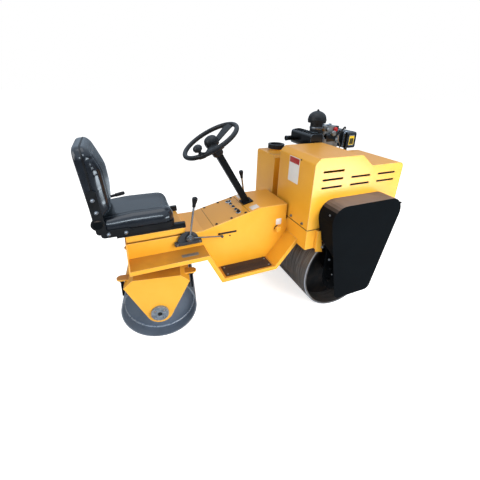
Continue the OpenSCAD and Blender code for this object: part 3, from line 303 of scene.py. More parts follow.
def turned(profile_mm, foot, axis, sides):
    """A profile of radius and height turned about an axis: foot + height * axis + radius * a direction round it."""
    radius, height = np.array(profile_mm, float).T[:, :, None, None] / 1000
    axis = unit(np.array(axis, float))
    side = unit(np.cross(axis, (0, 0, 1) if abs(axis[2]) < 0.9 else (1, 0, 0)))
    points = np.array(foot) + height * axis + radius * around(turns(sides), side, np.cross(axis, side))
    return points.reshape(-1, 3), grid_faces(len(profile_mm), sides)


sharp_deg = 38


def piece(name, slot, finish, *shells, body="frame"):
    """One object from closed shells of points and quads: poles merged, faces turned outwards, riding on its body."""
    starts = np.cumsum([0] + [len(points) for points, _ in shells[:-1]])
    mesh = bpy.data.meshes.new(name)
    mesh.from_pydata(np.concatenate([points for points, _ in shells]).tolist(), [],
                     np.concatenate([faces + start for (_, faces), start in zip(shells, starts)]).tolist())
    work = bmesh.new()
    work.from_mesh(mesh)
    bmesh.ops.remove_doubles(work, verts=work.verts, dist=1e-6)
    bmesh.ops.recalc_face_normals(work, faces=work.faces)
    work.to_mesh(mesh)
    work.free()
    mesh.shade_smooth()
    mesh.set_sharp_from_angle(angle=np.radians(sharp_deg))
    mesh.materials.append(finish)
    made = bpy.data.objects.new(name, mesh)
    scene.collection.objects.link(made)
    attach(made, body)
    return made


def hex_bolts(places, axis, across_mm):
    """Hexagon bolts on washers, sized by the width across their flats: a round washer and a six-sided head each."""
    corner = across_mm / np.sqrt(3)
    washer = [(0, -1), (1.15 * across_mm / 1.7, -1), (0.7 * across_mm, 0), (0.7 * across_mm, 1.6),
              (0.66 * across_mm, 2), (0, 2)]
    head = [(0, 1.5), (corner, 1.5), (corner, 2 + 0.5 * across_mm), (0.84 * corner, 2 + 0.62 * across_mm),
            (0, 2 + 0.64 * across_mm)]
    return [turned(profile, place, axis, sides) for place in np.reshape(places, (-1, 3))
            for profile, sides in ((washer, 24), (head, 6))]


# Black powder coat on steel plate: a satin film with a fine pebble and dust on top. Its edges are painted grey,
# partly wear and partly a painted highlight.
powder_coat = weathered("black_powder_coat", ("#0a0d10", "#0d1114"), (0.5, 0.62), grain_mm=2.2, edge_tone="#2c3034",
                        dust_and_shade_tone="#968780", dust=0.65, specular_ior_level=0.05)
# Zinc-plated steel: cool grey metal, a little clouded, for bolts, screws and pivots.
zinc_plate = weathered("zinc_plated_steel", ("#73787c", "#92979b"), (0.26, 0.42), cloud_mm=25, grain_mm=1.5,
                       grain_depth_mm=0.03, metallic=1.0)
# Cast iron under grey primer: dull, grainy, for the motor, the pulleys, the crankcase and the rear axle.
# Its edges are painted paler, a painted highlight.
cast_iron = weathered("grey_cast_iron", ("#3f4346", "#53585b"), (0.5, 0.65), grain_mm=2.0, grain_depth_mm=0.2,
                      metallic=0.4, edge_tone="#8a8f92")
# Black oxide on bolts: dark and dull, with no dust on it.
black_oxide = weathered("black_oxide_steel", ("#0b0d0f", "#131618"), (0.45, 0.6), cloud_mm=20,
                        specular_ior_level=0.08)
# Black rubber: matt, slightly greyed where it is touched.
black_rubber = weathered("black_rubber", ("#17181a", "#222325"), (0.7, 0.85), cloud_mm=60, grain_mm=1.5)
coat(powder_coat, "axle_carrier_right", "axle_carrier_left")
coat(cast_iron, "drive_motor", "pulleys")
coat(black_rubber, "rubber_buffers", "drive_belts")
carrier_out_mm, axle_up_mm, bolt_ring_mm = 370.3, 280, 118
ring_ahead, ring_up = bolt_ring_mm * around(turns(8) + np.pi / 8, *np.eye(2)).T
right_and_left = ("right", -1), ("left", 1)
for side_name, side in right_and_left:
    bearing_bolts = spot(ring_ahead, side * carrier_out_mm, axle_up_mm + ring_up)
    hanger_bolts = spot([-85, 85, -134, 134], side * carrier_out_mm, 586)
    piece(f"carrier_bolts_{side_name}", "black_paint", black_oxide,
          *hex_bolts(np.concatenate([bearing_bolts, hanger_bolts]), (0, side, 0), 17))
    piece(f"grease_plug_{side_name}", "zinc", zinc_plate,
          *hex_bolts(spot(-128, side * carrier_out_mm, 397), (0, side, 0), 13))


# Front frame and engine hood: bent and welded steel sheet under sprayed yellow enamel. The hood's shell is
# bolted to the deck, and its side sheets have cooling slots; behind the right one's lies a dark painted-shade sheet.
# Sprayed enamel: a warm yellow film with a slight orange peel. What faces up is painted browner, as dust and as
# painted shade, and its edges take a pale painted highlight.
enamel_tones = ("#eda92c", "#f3b338")
enamel_film = {"cloud_mm": 260, "grain_mm": 7, "grain_depth_mm": 0.12, "edge_mm": 2.8, "edge_tone": "#ffe6ad"}
enamel = weathered("sprayed_yellow_enamel", enamel_tones, (0.28, 0.4), dust_and_shade_tone="#cc9046", dust=0.55, **enamel_film)
coat(enamel, "front_frame", "cover_bracket", "hood_shell", "hood_side_right", "hood_side_left", "water_tank",
     "rear_frame", "console_panel_rear", "console_panel_middle", "console_panel_front", "seat_base")
# The same enamel low on the machine, on the footwells and the yoke, painted browner where it faces up: a little road
# dust, mostly painted shade under the console's ledge.
dust_and_shade_enamel = weathered("yellow_enamel_dust_and_shade", enamel_tones, (0.32, 0.45), dust_and_shade_tone="#a06a2a", dust=0.85,
                         **enamel_film)
coat(dust_and_shade_enamel, "footwell_right", "footwell_left", "rear_yoke")
slab_sink_mm = 0.3


def slab(outline_mm, thick_mm, origin, u, v, round_mm=0.6, crown_mm=0.0):
    """A plate: a convex outline in mm along u and v, sunk in a little and raised along u x v, its top edge rounded.

    The edge is a quarter round, inset by round * (1 - cos t) and raised by round * sin t. A crown raises the top by
    crown * (1 - share^2), where share is 1 at the edge and 0 in the middle.
    """
    outline = np.array(outline_mm, float)
    edge = unit(np.roll(outline, -1, 0) - outline)
    outward = np.stack([edge[:, 1], -edge[:, 0]], 1)
    outward = unit(outward + np.roll(outward, 1, 0))
    turn = np.radians([0, 30, 60, 90])
    inset = np.concatenate([[0], round_mm * (1 - np.cos(turn))])
    height = np.concatenate([[-slab_sink_mm], thick_mm - round_mm + round_mm * np.sin(turn)])
    flat = outline - inset[:, None, None] * outward
    middle = outline.mean(0)
    share = np.linspace(1, 0, 9 if crown_mm else 2)[1:]
    flat = np.concatenate([0 * flat[:1] + middle, flat, middle + share[:, None, None] * (flat[-1] - middle)])
    height = np.concatenate([height[:1], height, thick_mm + crown_mm * (1 - share ** 2)])[:, None, None]
    u, v = np.array(u, float), np.array(v, float)
    points = np.array(origin) + (flat[..., :1] * u + flat[..., 1:] * v + height * np.cross(u, v)) / 1000
    return points.reshape(-1, 3), grid_faces(len(flat), len(outline))


def rounded_rectangle(width_mm, height_mm, radius_mm, steps=5):
    """The outline of a rectangle about zero with quarter-circle corners, of one radius or of four."""
    turn = np.radians(np.linspace(0, 90, steps))[None] + np.radians([0, 90, 180, 270])[:, None]
    corner = np.array([(1, 1), (-1, 1), (-1, -1), (1, -1)])[:, None]
    radius = np.reshape(radius_mm * np.ones(4), (4, 1, 1))
    ring = around(turn, *np.eye(2)) * radius
    return (ring + corner * (np.array([width_mm, height_mm]) / 2 - radius)).reshape(-1, 2)


ahead, left, up = np.eye(3)
hood_rear, hood_right = -304, -341
# A nearly black sheet inside the hood behind the right slots: painted shade that shows through them.
foam = weathered("black_slot_shade_sheet", ("#0b0b0c", "#131314"), (0.9, 0.98), cloud_mm=30, grain_mm=4,
                 grain_depth_mm=1.0)
piece("hood_slot_shade_right", "rubber", foam,
      slab(rounded_rectangle(600, 190, 20), 6, spot(30, hood_right + 12, 860), ahead, up))
piece("hood_bolts", "zinc", zinc_plate,
      *hex_bolts(spot(hood_rear, [-171, -287], 637), -ahead, 13),
      *hex_bolts(spot(370, [-60, -287], 637), ahead, 13),
      *hex_bolts(spot([-190, 250], hood_right, 632), -left, 13),
      *hex_bolts(spot(-193, -363, 497), -left, 15))
piece("hood_plug", "rubber", black_rubber,
      turned([(0, -1), (5, -1), (5.5, 1), (4, 2.5), (0, 2.8)], spot(hood_rear, -210, 1002), -ahead, 16))
piece("hood_seal", "rubber", black_rubber,
      slab(rounded_rectangle(672, 5, 1.5), 1.2, spot(33, hood_right, 614), ahead, up),
      slab(rounded_rectangle(354, 5, 1.5), 1.2, spot(hood_rear, -161, 614), -left, up))
# Printed film: a blank white notice and its red head band, under a dull clear coat.
printed = {"grain_depth_mm": 0.01, "edge_mm": 0.3}
white_film = weathered("white_printed_film", ("#e4e4e2", "#eeeeec"), (0.3, 0.4), **printed)
red_film = weathered("red_printed_film", ("#a82824", "#b8302a"), (0.3, 0.4), **printed)
notice_mid = spot(hood_rear, -146, 927)
piece("hood_notice", "paint", white_film,
      slab(rounded_rectangle(106, 154, 3), 0.6, notice_mid, -left, up, 0.2))
piece("hood_notice_band", "red_plastic", red_film,
      slab(rounded_rectangle(98, 34, 2), 0.5, notice_mid + (-0.0006, 0, 0.056), -left, up, 0.2))


# Belt cover: a deep tray of thin black sheet over the belts and pulleys, open towards the drum.
# Small screws in its rear and front walls hold it to the brackets on the frame.
coat(powder_coat, "belt_cover")


def button_screws(places, axis, radius_mm):
    """Low round screw heads with a socket: one turned profile each."""
    profile = np.array([(0, 0.28), (0.4, 0.28), (0.42, 0.62), (0.72, 0.52), (0.93, 0.25), (1, 0), (1, -0.3),
                        (0, -0.3)])
    return [turned(profile * radius_mm, place, axis, 18) for place in np.reshape(places, (-1, 3))]


cover_mid, cover_top, cover_tall = 23, 797, 641
long_at_top, long_at_foot = 562, 277
cover_slope = (long_at_top - long_at_foot) / 2 / cover_tall
screw_up = np.array([750, 340])
screw_reach = long_at_top / 2 - cover_slope * (cover_top - screw_up)
for wall_name, wall in (("rear", -1), ("front", 1)):
    piece(f"cover_screws_{wall_name}", "zinc", zinc_plate,
          *button_screws(spot(cover_mid + wall * screw_reach, -442, screw_up), (wall, 0, -cover_slope), 6))


# Water tank: a welded sheet box on the deck's left rear, in the same enamel, with a wide filler.
# The filler's cap is a black moulding with a dished top and finger grips.
# Black moulded plastic: satin, nearly even, a little paler along its edges as a painted highlight.
moulded_plastic = weathered("black_moulded_plastic", ("#0e0f11", "#16181a"), (0.34, 0.5), cloud_mm=50, grain_mm=1.6,
                            edge_tone="#26292c", specular_ior_level=0.35)
coat(moulded_plastic, "tank_cap", "fuel_cap", "air_cleaner", "flywheel_housing")


# Engine: a single air-cooled cylinder in raw cast alloy on a grey crankcase, with a black fuel tank,
# a slotted muffler and a mushroom air cleaner, all bolted to the head and the flywheel housing.
# Sand-cast aluminium: pale, grainy and slightly dull, with a painted highlight along its edges.
cast_alloy = weathered("sand_cast_aluminium", ("#7b7e7f", "#aaadad"), (0.4, 0.58), cloud_mm=40, grain_mm=2.4,
                       grain_depth_mm=0.3, metallic=0.85, edge_tone="#b4b6b6")
# Stoved gloss black: the fuel tank's and muffler's smooth deep film, with painted bluish glints along its edges.
gloss_black = weathered("gloss_black_enamel", ("#08090b", "#0d1013"), (0.12, 0.24), cloud_mm=80, grain_mm=8,
                        grain_depth_mm=0.06, edge_mm=3.5, edge_tone="#7f93a6", specular_ior_level=0.6)
# Chromed steel: a smooth bright mirror with faint handling haze.
chrome = weathered("chromed_steel", ("#b0b4b8", "#ccd0d4"), (0.1, 0.24), cloud_mm=30, grain_depth_mm=0.0,
                   metallic=1.0, edge_mm=0.6)
# Bare copper and brass fittings, browned by heat.
brass = weathered("heat_browned_brass", ("#8a5a30", "#b98748"), (0.25, 0.45), cloud_mm=15, grain_depth_mm=0.02,
                  metallic=1.0, edge_mm=0.6)
# Red moulded plastic for the oil filler's cap.
red_plastic = weathered("red_moulded_plastic", ("#a41d20", "#bb2a2a"), (0.3, 0.42), cloud_mm=20,
                        grain_depth_mm=0.02)
# Yellow printed foil for the tank's blank plate.
yellow_foil = weathered("yellow_printed_foil", ("#c9a81c", "#d8b72a"), (0.25, 0.35), **printed)
coat(cast_alloy, "engine_cylinder", "cylinder_head")
coat(cast_iron, "engine_block")
coat(gloss_black, "fuel_tank", "muffler")


def carried(section_mm, path, upright, closed=False, growth=1.0):
    """A closed section carried along a path: path + across * s + over * t, across being square to path and upright.

    Open ends close to a point on the path, and growth scales the section along it.
    """
    path = np.array(path, float)
    step = unit(np.roll(path, -1, 0) - np.roll(path, 1, 0) if closed else np.gradient(path, axis=0))
    across = unit(np.cross(step, upright))
    over = np.cross(across, step)
    section = np.array(section_mm, float)[None] * np.reshape(growth * np.ones(len(path)), (-1, 1, 1)) / 1000
    points = path[:, None] + section[..., :1] * across[:, None] + section[..., 1:] * over[:, None]
    if closed:
        points = np.concatenate([points, points[:1]])
    else:
        tips = path[[0, -1], None] + 0 * points[:1]
        points = np.concatenate([tips[:1], points, tips[1:]])
    return points.reshape(-1, 3), grid_faces(len(points), section.shape[1])


def circle(radius_mm, sides):
    """The points of a circle about zero."""
    return radius_mm * around(turns(sides), *np.eye(2))


path_points = 40


def smooth_path(points):
    """A smooth curve through given points: a cubic of the parameter between each two, with matching slopes."""
    points = np.array(points, float)
    longer = np.concatenate([2 * points[:1] - points[1:2], points, 2 * points[-1:] - points[-2:-1]])
    at = np.linspace(0, len(points) - 1 - 1e-9, path_points)
    span, t = at.astype(int), (at % 1)[:, None]
    a, b, c, d = (longer[span + i] for i in range(4))
    return 0.5 * (2 * b + (c - a) * t + (2 * a - 5 * b + 4 * c - d) * t ** 2 + (3 * b - a - 3 * c + d) * t ** 3)


tank_low, tank_high = np.array(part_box("fuel_tank"))
tank_tall, strap_in = 0.116, 0.032
tank_face = np.array([(tank_low[0] + tank_high[0]) / 2, tank_low[1], tank_high[2] - tank_tall / 2])
piece("tank_plate_border", "zinc", chrome,
      slab(rounded_rectangle(56, 78, 5), 0.8, tank_face, ahead, up, 0.3))
piece("tank_plate", "paint", yellow_foil,
      slab(rounded_rectangle(44, 64, 3), 0.6, tank_face + (0, -0.0008, 0), ahead, up, 0.2))
# Dark printed field on the plate, left blank.
dark_film = weathered("dark_olive_printed_film", ("#2e2a12", "#46401c"), (0.3, 0.4), cloud_mm=12, **printed)
piece("tank_plate_field", "black_plastic", dark_film,
      slab(rounded_rectangle(34, 42, 4), 0.4, tank_face + (0, -0.0014, -0.006), ahead, up, 0.2))
strap_ring = rounded_rectangle(86, 120, 18, 8) / 1000
strap_out = strap_ring[:, :1] * ahead + strap_ring[:, 1:] * up
piece("tank_strap", "zinc", chrome,
      carried(rounded_rectangle(16, 3, 1, 3), tank_face + strap_in * left + strap_out, strap_out, closed=True))

rocker_top = 1128
piece("rocker_nuts", "zinc", zinc_plate,
      *hex_bolts(spot([118, 182], 160, rocker_top), up, 15),
      *hex_bolts(spot([92, 208, 92, 208], [102, 102, 218, 218], 1044), up, 13))
oil_cap = [(0, -1), (15, -1), (16, 2), (16, 9), (14, 12), (7, 13), (6, 20), (0, 21)]
piece("oil_filler_cap", "red_plastic", red_plastic, turned(oil_cap, spot(190, 113, 1106), -left, 12))
injector_line = smooth_path(spot([182, 192, 206, 222, 236, 244], [112, 96, 90, 90, 92, 96],
                                 [1050, 1044, 1034, 1016, 994, 960]))
piece("injector_line", "zinc", chrome, carried(circle(3.4, 10), injector_line, (0.3, 0.9, 0.2)))
injector_nut = [(0, -6), (9, -6), (9, 6), (7, 9), (7, 16), (0, 17)]
piece("injector_nuts", "zinc", brass, turned(injector_nut, spot(84, 112, 1106), (-0.4, -0.9, 0.1), 6),
      turned(injector_nut, spot(180, 112, 1050), -left, 6))
pump_body = slab(rounded_rectangle(88, 56, 10), 26, spot(146, 114, 1050), ahead, up, 8)
pump_cap = turned([(0, 20), (17, 20), (19, 23), (19, 30), (15, 34), (0, 35)], spot(160, 112, 1082), -left, 24)
piece("injection_pump", "black_paint", gloss_black, pump_body)
piece("pump_fittings", "cast_alloy", cast_alloy, pump_cap,
      turned([(0, 0), (8, 0), (8, 22), (6, 25), (0, 26)], spot(192, 100, 1018), (0.2, -1, 0.2), 6),
      turned([(0, 0), (12, 0), (12, 14), (9, 18), (0, 18)], spot(118, 112, 1106), (-0.2, -1, 0.3), 20))
piece("tank_bracket", "zinc", chrome,
      slab(rounded_rectangle(16, 84, 4), 5, spot(224, 112, 1064), (0.97, -0.24, 0), up))
return_line = smooth_path(spot([200, 224, 246, 262, 276], [112, 96, 92, 96, 104],
                               [1062, 1084, 1110, 1120, 1112]))
piece("fuel_pipe", "rubber", black_rubber, carried(circle(6, 12), return_line, (0.2, 0.9, 0.3)))
decompressor = smooth_path(spot([150, 150, 132, 108], [160, 132, 112, 104],
                                [1126, 1140, 1142, 1138]))
piece("decompressor_lever", "zinc", chrome,
      carried(circle(5, 10), decompressor, (0.2, 0.3, 1.0), growth=np.linspace(1.3, 0.9, path_points)))
muffler_z = 1092
louvre_ahead, louvre_up = np.linspace(-54, 4, 9), muffler_z + 3 * np.sin(np.linspace(0, np.pi, 9))
piece("muffler_louvres", "black_paint", gloss_black, *[
    carried([(-5, -1), (5, -1), (4, 2.5), (0, 4), (-4, 2.5)], spot(louvre_ahead, y, louvre_up), left)
    for y in np.linspace(70, 254, 8)])
outlet_end = [(11, -22), (16.6, -22), (17.2, -8), (17.2, 56), (18.4, 58), (18.4, 64), (12.6, 64), (12, 60),
              (11, -22)]
piece("exhaust_outlet", "black_paint", gloss_black, turned(outlet_end, spot(-60, 254, 1032), -ahead, 28))
cleaner_mid = spot(32, 125, 0)
cleaner_band = [(40, 1112), (43.6, 1112), (44.4, 1116), (44.4, 1124), (43.6, 1128), (40, 1128), (40, 1112)]
piece("cleaner_band", "zinc", zinc_plate, turned(cleaner_band, cleaner_mid, up, 40))
cap_rib = [(52, 1166), (62.2, 1166), (63, 1170), (63, 1176), (62, 1180), (52, 1180), (52, 1166)]
wing_nut = [(0, 1230), (11, 1230), (11, 1233), (6, 1235), (6, 1240), (4, 1242), (0, 1242)]
piece("cleaner_cap_trim", "black_plastic", moulded_plastic, turned(cap_rib, cleaner_mid, up, 48),
      turned(wing_nut, cleaner_mid, up, 16))
starter_grip = [(0, -32), (8, -32), (10, -28), (9, -10), (10, 0), (9, 10), (10, 28), (8, 32), (0, 32)]
housing_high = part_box("flywheel_housing")[1]
piece("starter_grip", "black_plastic", black_rubber,
      turned(starter_grip, (spot(100, 0, 0)[0], housing_high[1] + 0.006, housing_high[2] - 0.05), ahead, 16))


# Driver's console: folded sheet in the same enamel, closed on top by three screwed panels.
# The sloping one carries a row of switches, and a blank notice is stuck over the side knob.
console_half = 135
slope_at, slope_high = (-861, -500), (617, 706)
slope_foot, slope_knee = spot(slope_at, 0, slope_high)
slope_ahead = unit(slope_knee - slope_foot)
slope_up = np.cross(slope_ahead, left)


def on_panels(ahead_mm, left_mm):
    """Places on the console's top panels: level to the slope's foot, up the slope to the knee, and level again."""
    return spot(ahead_mm, left_mm, np.interp(ahead_mm, slope_at, slope_high))


piece("console_screws", "black_paint", moulded_plastic,
      *button_screws(on_panels(np.repeat([-778, -686, -596], 2), np.tile([-122, 122], 3)), slope_up, 8),
      *button_screws(on_panels(-960, [-122, 122]), up, 8))
# Thin brown strips in the joints between the panels: painted shade for the gaps.
joint_shade = weathered("brown_joint_shade", ("#5c3f18", "#6e4d20"), (0.6, 0.75), cloud_mm=30)
joint_ahead = (np.array(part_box("console_panel_middle")) - axle_foot)[:, 0] * 1000
piece("panel_joints", "rubber", joint_shade,
      *[slab(rounded_rectangle(2.6, 268, 1), 0.3, on_panels(x, 0), slope_ahead, left, 0.1) for x in joint_ahead])
# Rubber strips close the rod's slots in the console's sides, over a small plug, and a round knob stands on its right.
piece("slot_strips", "rubber", black_rubber,
      *[slab(rounded_rectangle(116, 13, 3), 1.4, spot(-715.5, side * (console_half - 0.6), 577), -side * ahead, up)
        for side in (-1, 1)])
piece("console_plug", "rubber", black_rubber,
      turned([(0, -1), (5, -1), (5, 0.8), (3.6, 1.6), (0, 1.8)], spot(-700, -console_half, 555), -left, 16))
knob_cap = [(0, 0), (9, 0), (9, 12), (16.5, 12.5), (18, 14), (18, 27), (15.5, 30.5), (0, 32)]
knob_foot = spot(-383, -console_half, 550)
side_knob_cap = piece("side_knob_cap", "paint", enamel, turned(knob_cap, knob_foot, -left, 36))
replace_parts(side_knob_cap, "side_knob")
# A black ring round the knob's foot: painted shade for the shadow at its neck.
piece("side_knob_shade_ring", "rubber", black_rubber,
      turned([(9, 0.2), (15, 0.2), (14, 5), (9, 7), (9, 0.2)], knob_foot, -left, 32))
switch_ahead = (np.mean(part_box("switch_row"), axis=0) - axle_foot)[0] * 1000
switch_feet = on_panels(switch_ahead, console_half * np.array([0.6, 0.28, -0.04, -0.36, -0.66]))
switch_radii = (19, 11, 11, 11, 15)
bezel = np.array([(0, -2), (1, -2), (1.06, 0.2), (1.0, 3), (0.86, 4), (0.82, 2.2), (0, 2.2)])
switch_bezels = piece("switch_bezels", "zinc", chrome,
                      *[turned(bezel * (radius, 1), foot, slope_up, 28)
                        for radius, foot in zip(switch_radii, switch_feet)])
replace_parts(switch_bezels, "switch_row")
dial_face = [(0, 2), (15.2, 2), (15.2, 2.6), (0, 2.7)]
button = [(0, 2), (8.6, 2), (8.6, 7), (7.4, 9), (0, 9.4)]
knob_profile = [(0, 2), (11.5, 2), (11, 8), (9, 10), (9, 17), (7.6, 18.5), (0, 18.8)]
piece("switch_knobs", "black_plastic", moulded_plastic,
      turned(dial_face, switch_feet[0], slope_up, 28),
      *[turned(button, foot, slope_up, 20) for foot in switch_feet[1:4]],
      turned(knob_profile, switch_feet[4], slope_up, 12))
needle_run = np.linspace(-0.0028, 0.0084, 6)[:, None] * (slope_ahead + left)
piece("gauge_needle", "paint", white_film,
      carried(circle(0.8, 8), switch_feet[0] + 0.003 * slope_up + needle_run, slope_up))
piece("console_notice", "paint", white_film,
      slab(rounded_rectangle(38, 42, 5), 0.6, spot(-370, -console_half, 590), ahead, up, 0.2))
# Pale clear-coated film: two blank patches beside the column's foot.
pale_film = weathered("pale_clear_film", ("#cfc4b8", "#ddd5cb"), (0.12, 0.2), **printed)
piece("column_patches", "paint", pale_film,
      slab(rounded_rectangle(52, 46, 4), 0.5, on_panels(-530, -99), slope_ahead, left, 0.2),
      slab(rounded_rectangle(30, 60, 4), 0.5, on_panels(-546, 100), slope_ahead, left, 0.2))


# Footwells: folded strips along the console, bent down into a tread on each side. A rubber mat
# lies in each under four screws, and a blank grey plate is riveted to the right ledge.
# Moulded rubber matting: dark brown, matt, with dust in its relief.
mat_rubber = weathered("brown_rubber_matting", ("#241814", "#31221c"), (0.75, 0.9), cloud_mm=45, grain_mm=5,
                       grain_depth_mm=0.8, dust_and_shade_tone="#48382f", dust=0.3)
coat(mat_rubber, "foot_mats")
mat_low, mat_high = np.array(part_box("foot_mats"))
screw_end, screw_near, screw_far, rib_end = 0.016, 0.014, 0.078, 0.03
mat_x = mat_low[0] + screw_end, mat_high[0] - screw_end
mat_y = np.array([mat_low[1] + screw_near, mat_low[1] + screw_far, mat_high[1] - screw_far, mat_high[1] - screw_near])
mat_corners = np.stack(np.meshgrid(mat_x, mat_y, [mat_high[2]]), -1).reshape(-1, 3)
piece("mat_screws", "zinc", zinc_plate, *button_screws(mat_corners, up, 6))
rib_y = np.linspace(mat_y[[0, 2]] + screw_near, mat_y[[1, 3]] - screw_near, 6).T.ravel()
rib_run = np.linspace(mat_low[0] + rib_end, mat_high[0] - rib_end, 3)
piece("mat_ribs", "mat_rubber", mat_rubber,
      *[carried([(-2, -0.4), (2, -0.4), (1.4, 1.0), (0, 1.3), (-1.4, 1.0)],
                np.stack(np.broadcast_arrays(rib_run, y, mat_high[2]), 1), up) for y in rib_y])
# Dull rolled aluminium for the blank plate.
plate_alloy = weathered("dull_rolled_aluminium", ("#85817d", "#9c9894"), (0.35, 0.5), cloud_mm=12,
                        grain_depth_mm=0.02, metallic=0.7, edge_mm=0.4)
piece("ledge_plate", "zinc", plate_alloy,
      slab(rounded_rectangle(92, 26, 3), 1.2, spot(-957, -208, 525), ahead, left, 0.4),
      *button_screws(spot([-998, -916], -208, 526), up, 2.5))


# Seat: a moulded pan and back under black vinyl on two slides, with steel brackets bolted to its sides.
# The pads are foam in sewn, glossy vinyl covers: a panel inside a rolled border, with piping round the back.
# Calendered vinyl: nearly black, glossy, with a soft leather grain.
vinyl = weathered("black_upholstery_vinyl", ("#0b0f15", "#121820"), (0.13, 0.22), cloud_mm=60, grain_mm=3,
                  grain_depth_mm=0.02, edge_mm=0.5, specular_ior_level=0.6, sheen_weight=0.3,
                  sheen_roughness=0.35, sheen_tint=linear("#9db4c6"))
coat(moulded_plastic, "seat_pan", "seat_slides", "seat_brackets", "recline_lever")
voxel = 0.006
blow_frames = 20


def array_of(items, key):
    """What a mesh's vertices or normals hold under a key, three numbers each, as an array."""
    values = np.empty(len(items) * 3, np.float32)
    items.foreach_get(key, values)
    return values.reshape(-1, 3).astype(float)


def settle(made):
    """Makes the shape that an object's modifiers give its own mesh."""
    shaped = bpy.data.meshes.new_from_object(made.evaluated_get(bpy.context.evaluated_depsgraph_get()))
    made.modifiers.clear()
    made.data = shaped


def inside_mm(a, b, half_a, half_b, radius):
    """How far inside a rounded rectangle's outline a place is, in mm: the radius less its distance from the core."""
    over_a, over_b = np.abs(a) - half_a + radius, np.abs(b) - half_b + radius
    return radius - np.hypot(np.maximum(over_a, 0), np.maximum(over_b, 0)) - np.minimum(np.maximum(over_a, over_b), 0)


def rolled(inside, radius, kept):
    """The share of its height that a pad keeps at a distance inside its edge: a quarter round that starts at kept."""
    return kept + (1 - kept) * np.sqrt(1 - (1 - np.clip(inside / radius, 0, 1)) ** 2)


def sewn_pad(name, node, draw_in_mm, swell_mm, form, seams):
    """A foam pad in a sewn cover: the plain pillow drawn in, remeshed, sewn down, blown up by cloth and capped.

    form rolls its edges over. seams gives, for places and their normals, how firmly the cover is held there, and the
    depth of its seams in mm.
    """
    low, high = np.array(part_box(node))
    work = bmesh.new()
    work.from_mesh(nodes[node].data)
    bmesh.ops.remove_doubles(work, verts=work.verts, dist=1e-5)
    mesh = bpy.data.meshes.new(name)
    work.to_mesh(mesh)
    work.free()
    middle = (low + high) / 2
    drawn_in = 1 - 2 * np.array(draw_in_mm) / 1000 / (high - low)
    shrunk = middle + (array_of(mesh.vertices, "co") - middle) * drawn_in
    mesh.vertices.foreach_set("co", shrunk.ravel())
    pad = bpy.data.objects.new(name, mesh)
    scene.collection.objects.link(pad)
    remesh = pad.modifiers.new("voxels", "REMESH")
    remesh.mode = "VOXEL"
    remesh.voxel_size = voxel
    settle(pad)
    rest = form(array_of(pad.data.vertices, "co"))
    pad.data.vertices.foreach_set("co", rest.ravel())
    pad.data.update()
    held = seams(rest, array_of(pad.data.vertex_normals, "vector"))[0]
    sewn = pad.vertex_groups.new(name="sewn")
    for vertex in np.flatnonzero(held > 0.05):
        sewn.add([int(vertex)], float(held[vertex]), "REPLACE")
    cover = pad.modifiers.new("cover", "CLOTH")
    cover.settings.vertex_group_mass = "sewn"
    cover.settings.tension_stiffness = cover.settings.compression_stiffness = 40
    cover.settings.bending_stiffness = 5
    cover.settings.use_pressure = True
    cover.settings.uniform_pressure_force = 4
    cover.settings.effector_weights.gravity = 0
    cover.point_cache.frame_end = blow_frames
    for step in range(1, blow_frames + 1):
        scene.frame_set(step)
    settle(pad)
    scene.frame_set(1)
    swell = array_of(pad.data.vertices, "co") - rest
    reach = np.maximum(np.linalg.norm(swell, axis=1, keepdims=True), 1e-9) / swell_mm * 1000
    pad.data.vertices.foreach_set("co", (rest + swell * np.tanh(reach) / reach).ravel())
    even = pad.modifiers.new("even", "SMOOTH")
    even.factor, even.iterations = 0.5, 12
    settle(pad)
    points, normals = array_of(pad.data.vertices, "co"), array_of(pad.data.vertex_normals, "vector")
    points = points - normals * seams(points, normals)[1][:, None] / 1000
    pad.data.vertices.foreach_set("co", np.clip(points, low - 0.002, high + 0.012).ravel())
    pad.data.update()
    pad.data.shade_smooth()
    pad.data.materials.clear()
    pad.data.materials.append(vinyl)
    fine = pad.modifiers.new("fine", "SUBSURF")
    fine.levels = fine.render_levels = 1
    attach(pad, "frame")
    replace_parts(pad, node)
    return pad


cushion_low, cushion_high = np.array(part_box("seat_cushion"))
cushion_mid, cushion_half = (cushion_low + cushion_high) / 2, (cushion_high - cushion_low) * 500
cushion_border, back_border, back_lean = 44, 38, np.radians(5)
back_out, back_up = around(back_lean, ahead, up), around(back_lean, up, -ahead)
back_foot = spot(-1365, 0, 712)
shell_h, shell_half_w, shell_t, pad_foot_h = 412, 155, 24, 70
back_mid_h, back_half_h, back_half_w = (shell_h + pad_foot_h) / 2, (shell_h - pad_foot_h) / 2, 149


def cushion_inside(points):
    """How far inside the cushion's outline places are, as if it ran on under the back."""
    x, y = (points - cushion_mid)[:, :2].T * 1000
    return inside_mm(x + 60, y, cushion_half[0] + 60, cushion_half[1], 60)


def cushion_form(points):
    """The cushion's top rolled over its edges, a bolster raised along each side and the front's middle let down.

    The bolster is a bell across the width, and the fall grows with the cube of the distance to the front.
    """
    inside, base = cushion_inside(points), cushion_low[2]
    x, y = (points - cushion_mid)[:, :2].T * 1000
    bolster = np.exp(-((np.abs(y) - 112) / 38) ** 2)
    front = np.clip(x / cushion_half[0], 0, 1) ** 3
    clear = np.clip((x + cushion_half[0] - 40) / 90, 0, 1)
    crown = 1 + clear * (0.15 * bolster + 0.04 * (1 - bolster)) - 0.2 * front * (1 - bolster)
    return np.column_stack([points[:, :2], base + (points[:, 2] - base) * rolled(inside, 48, 0.42) * crown])


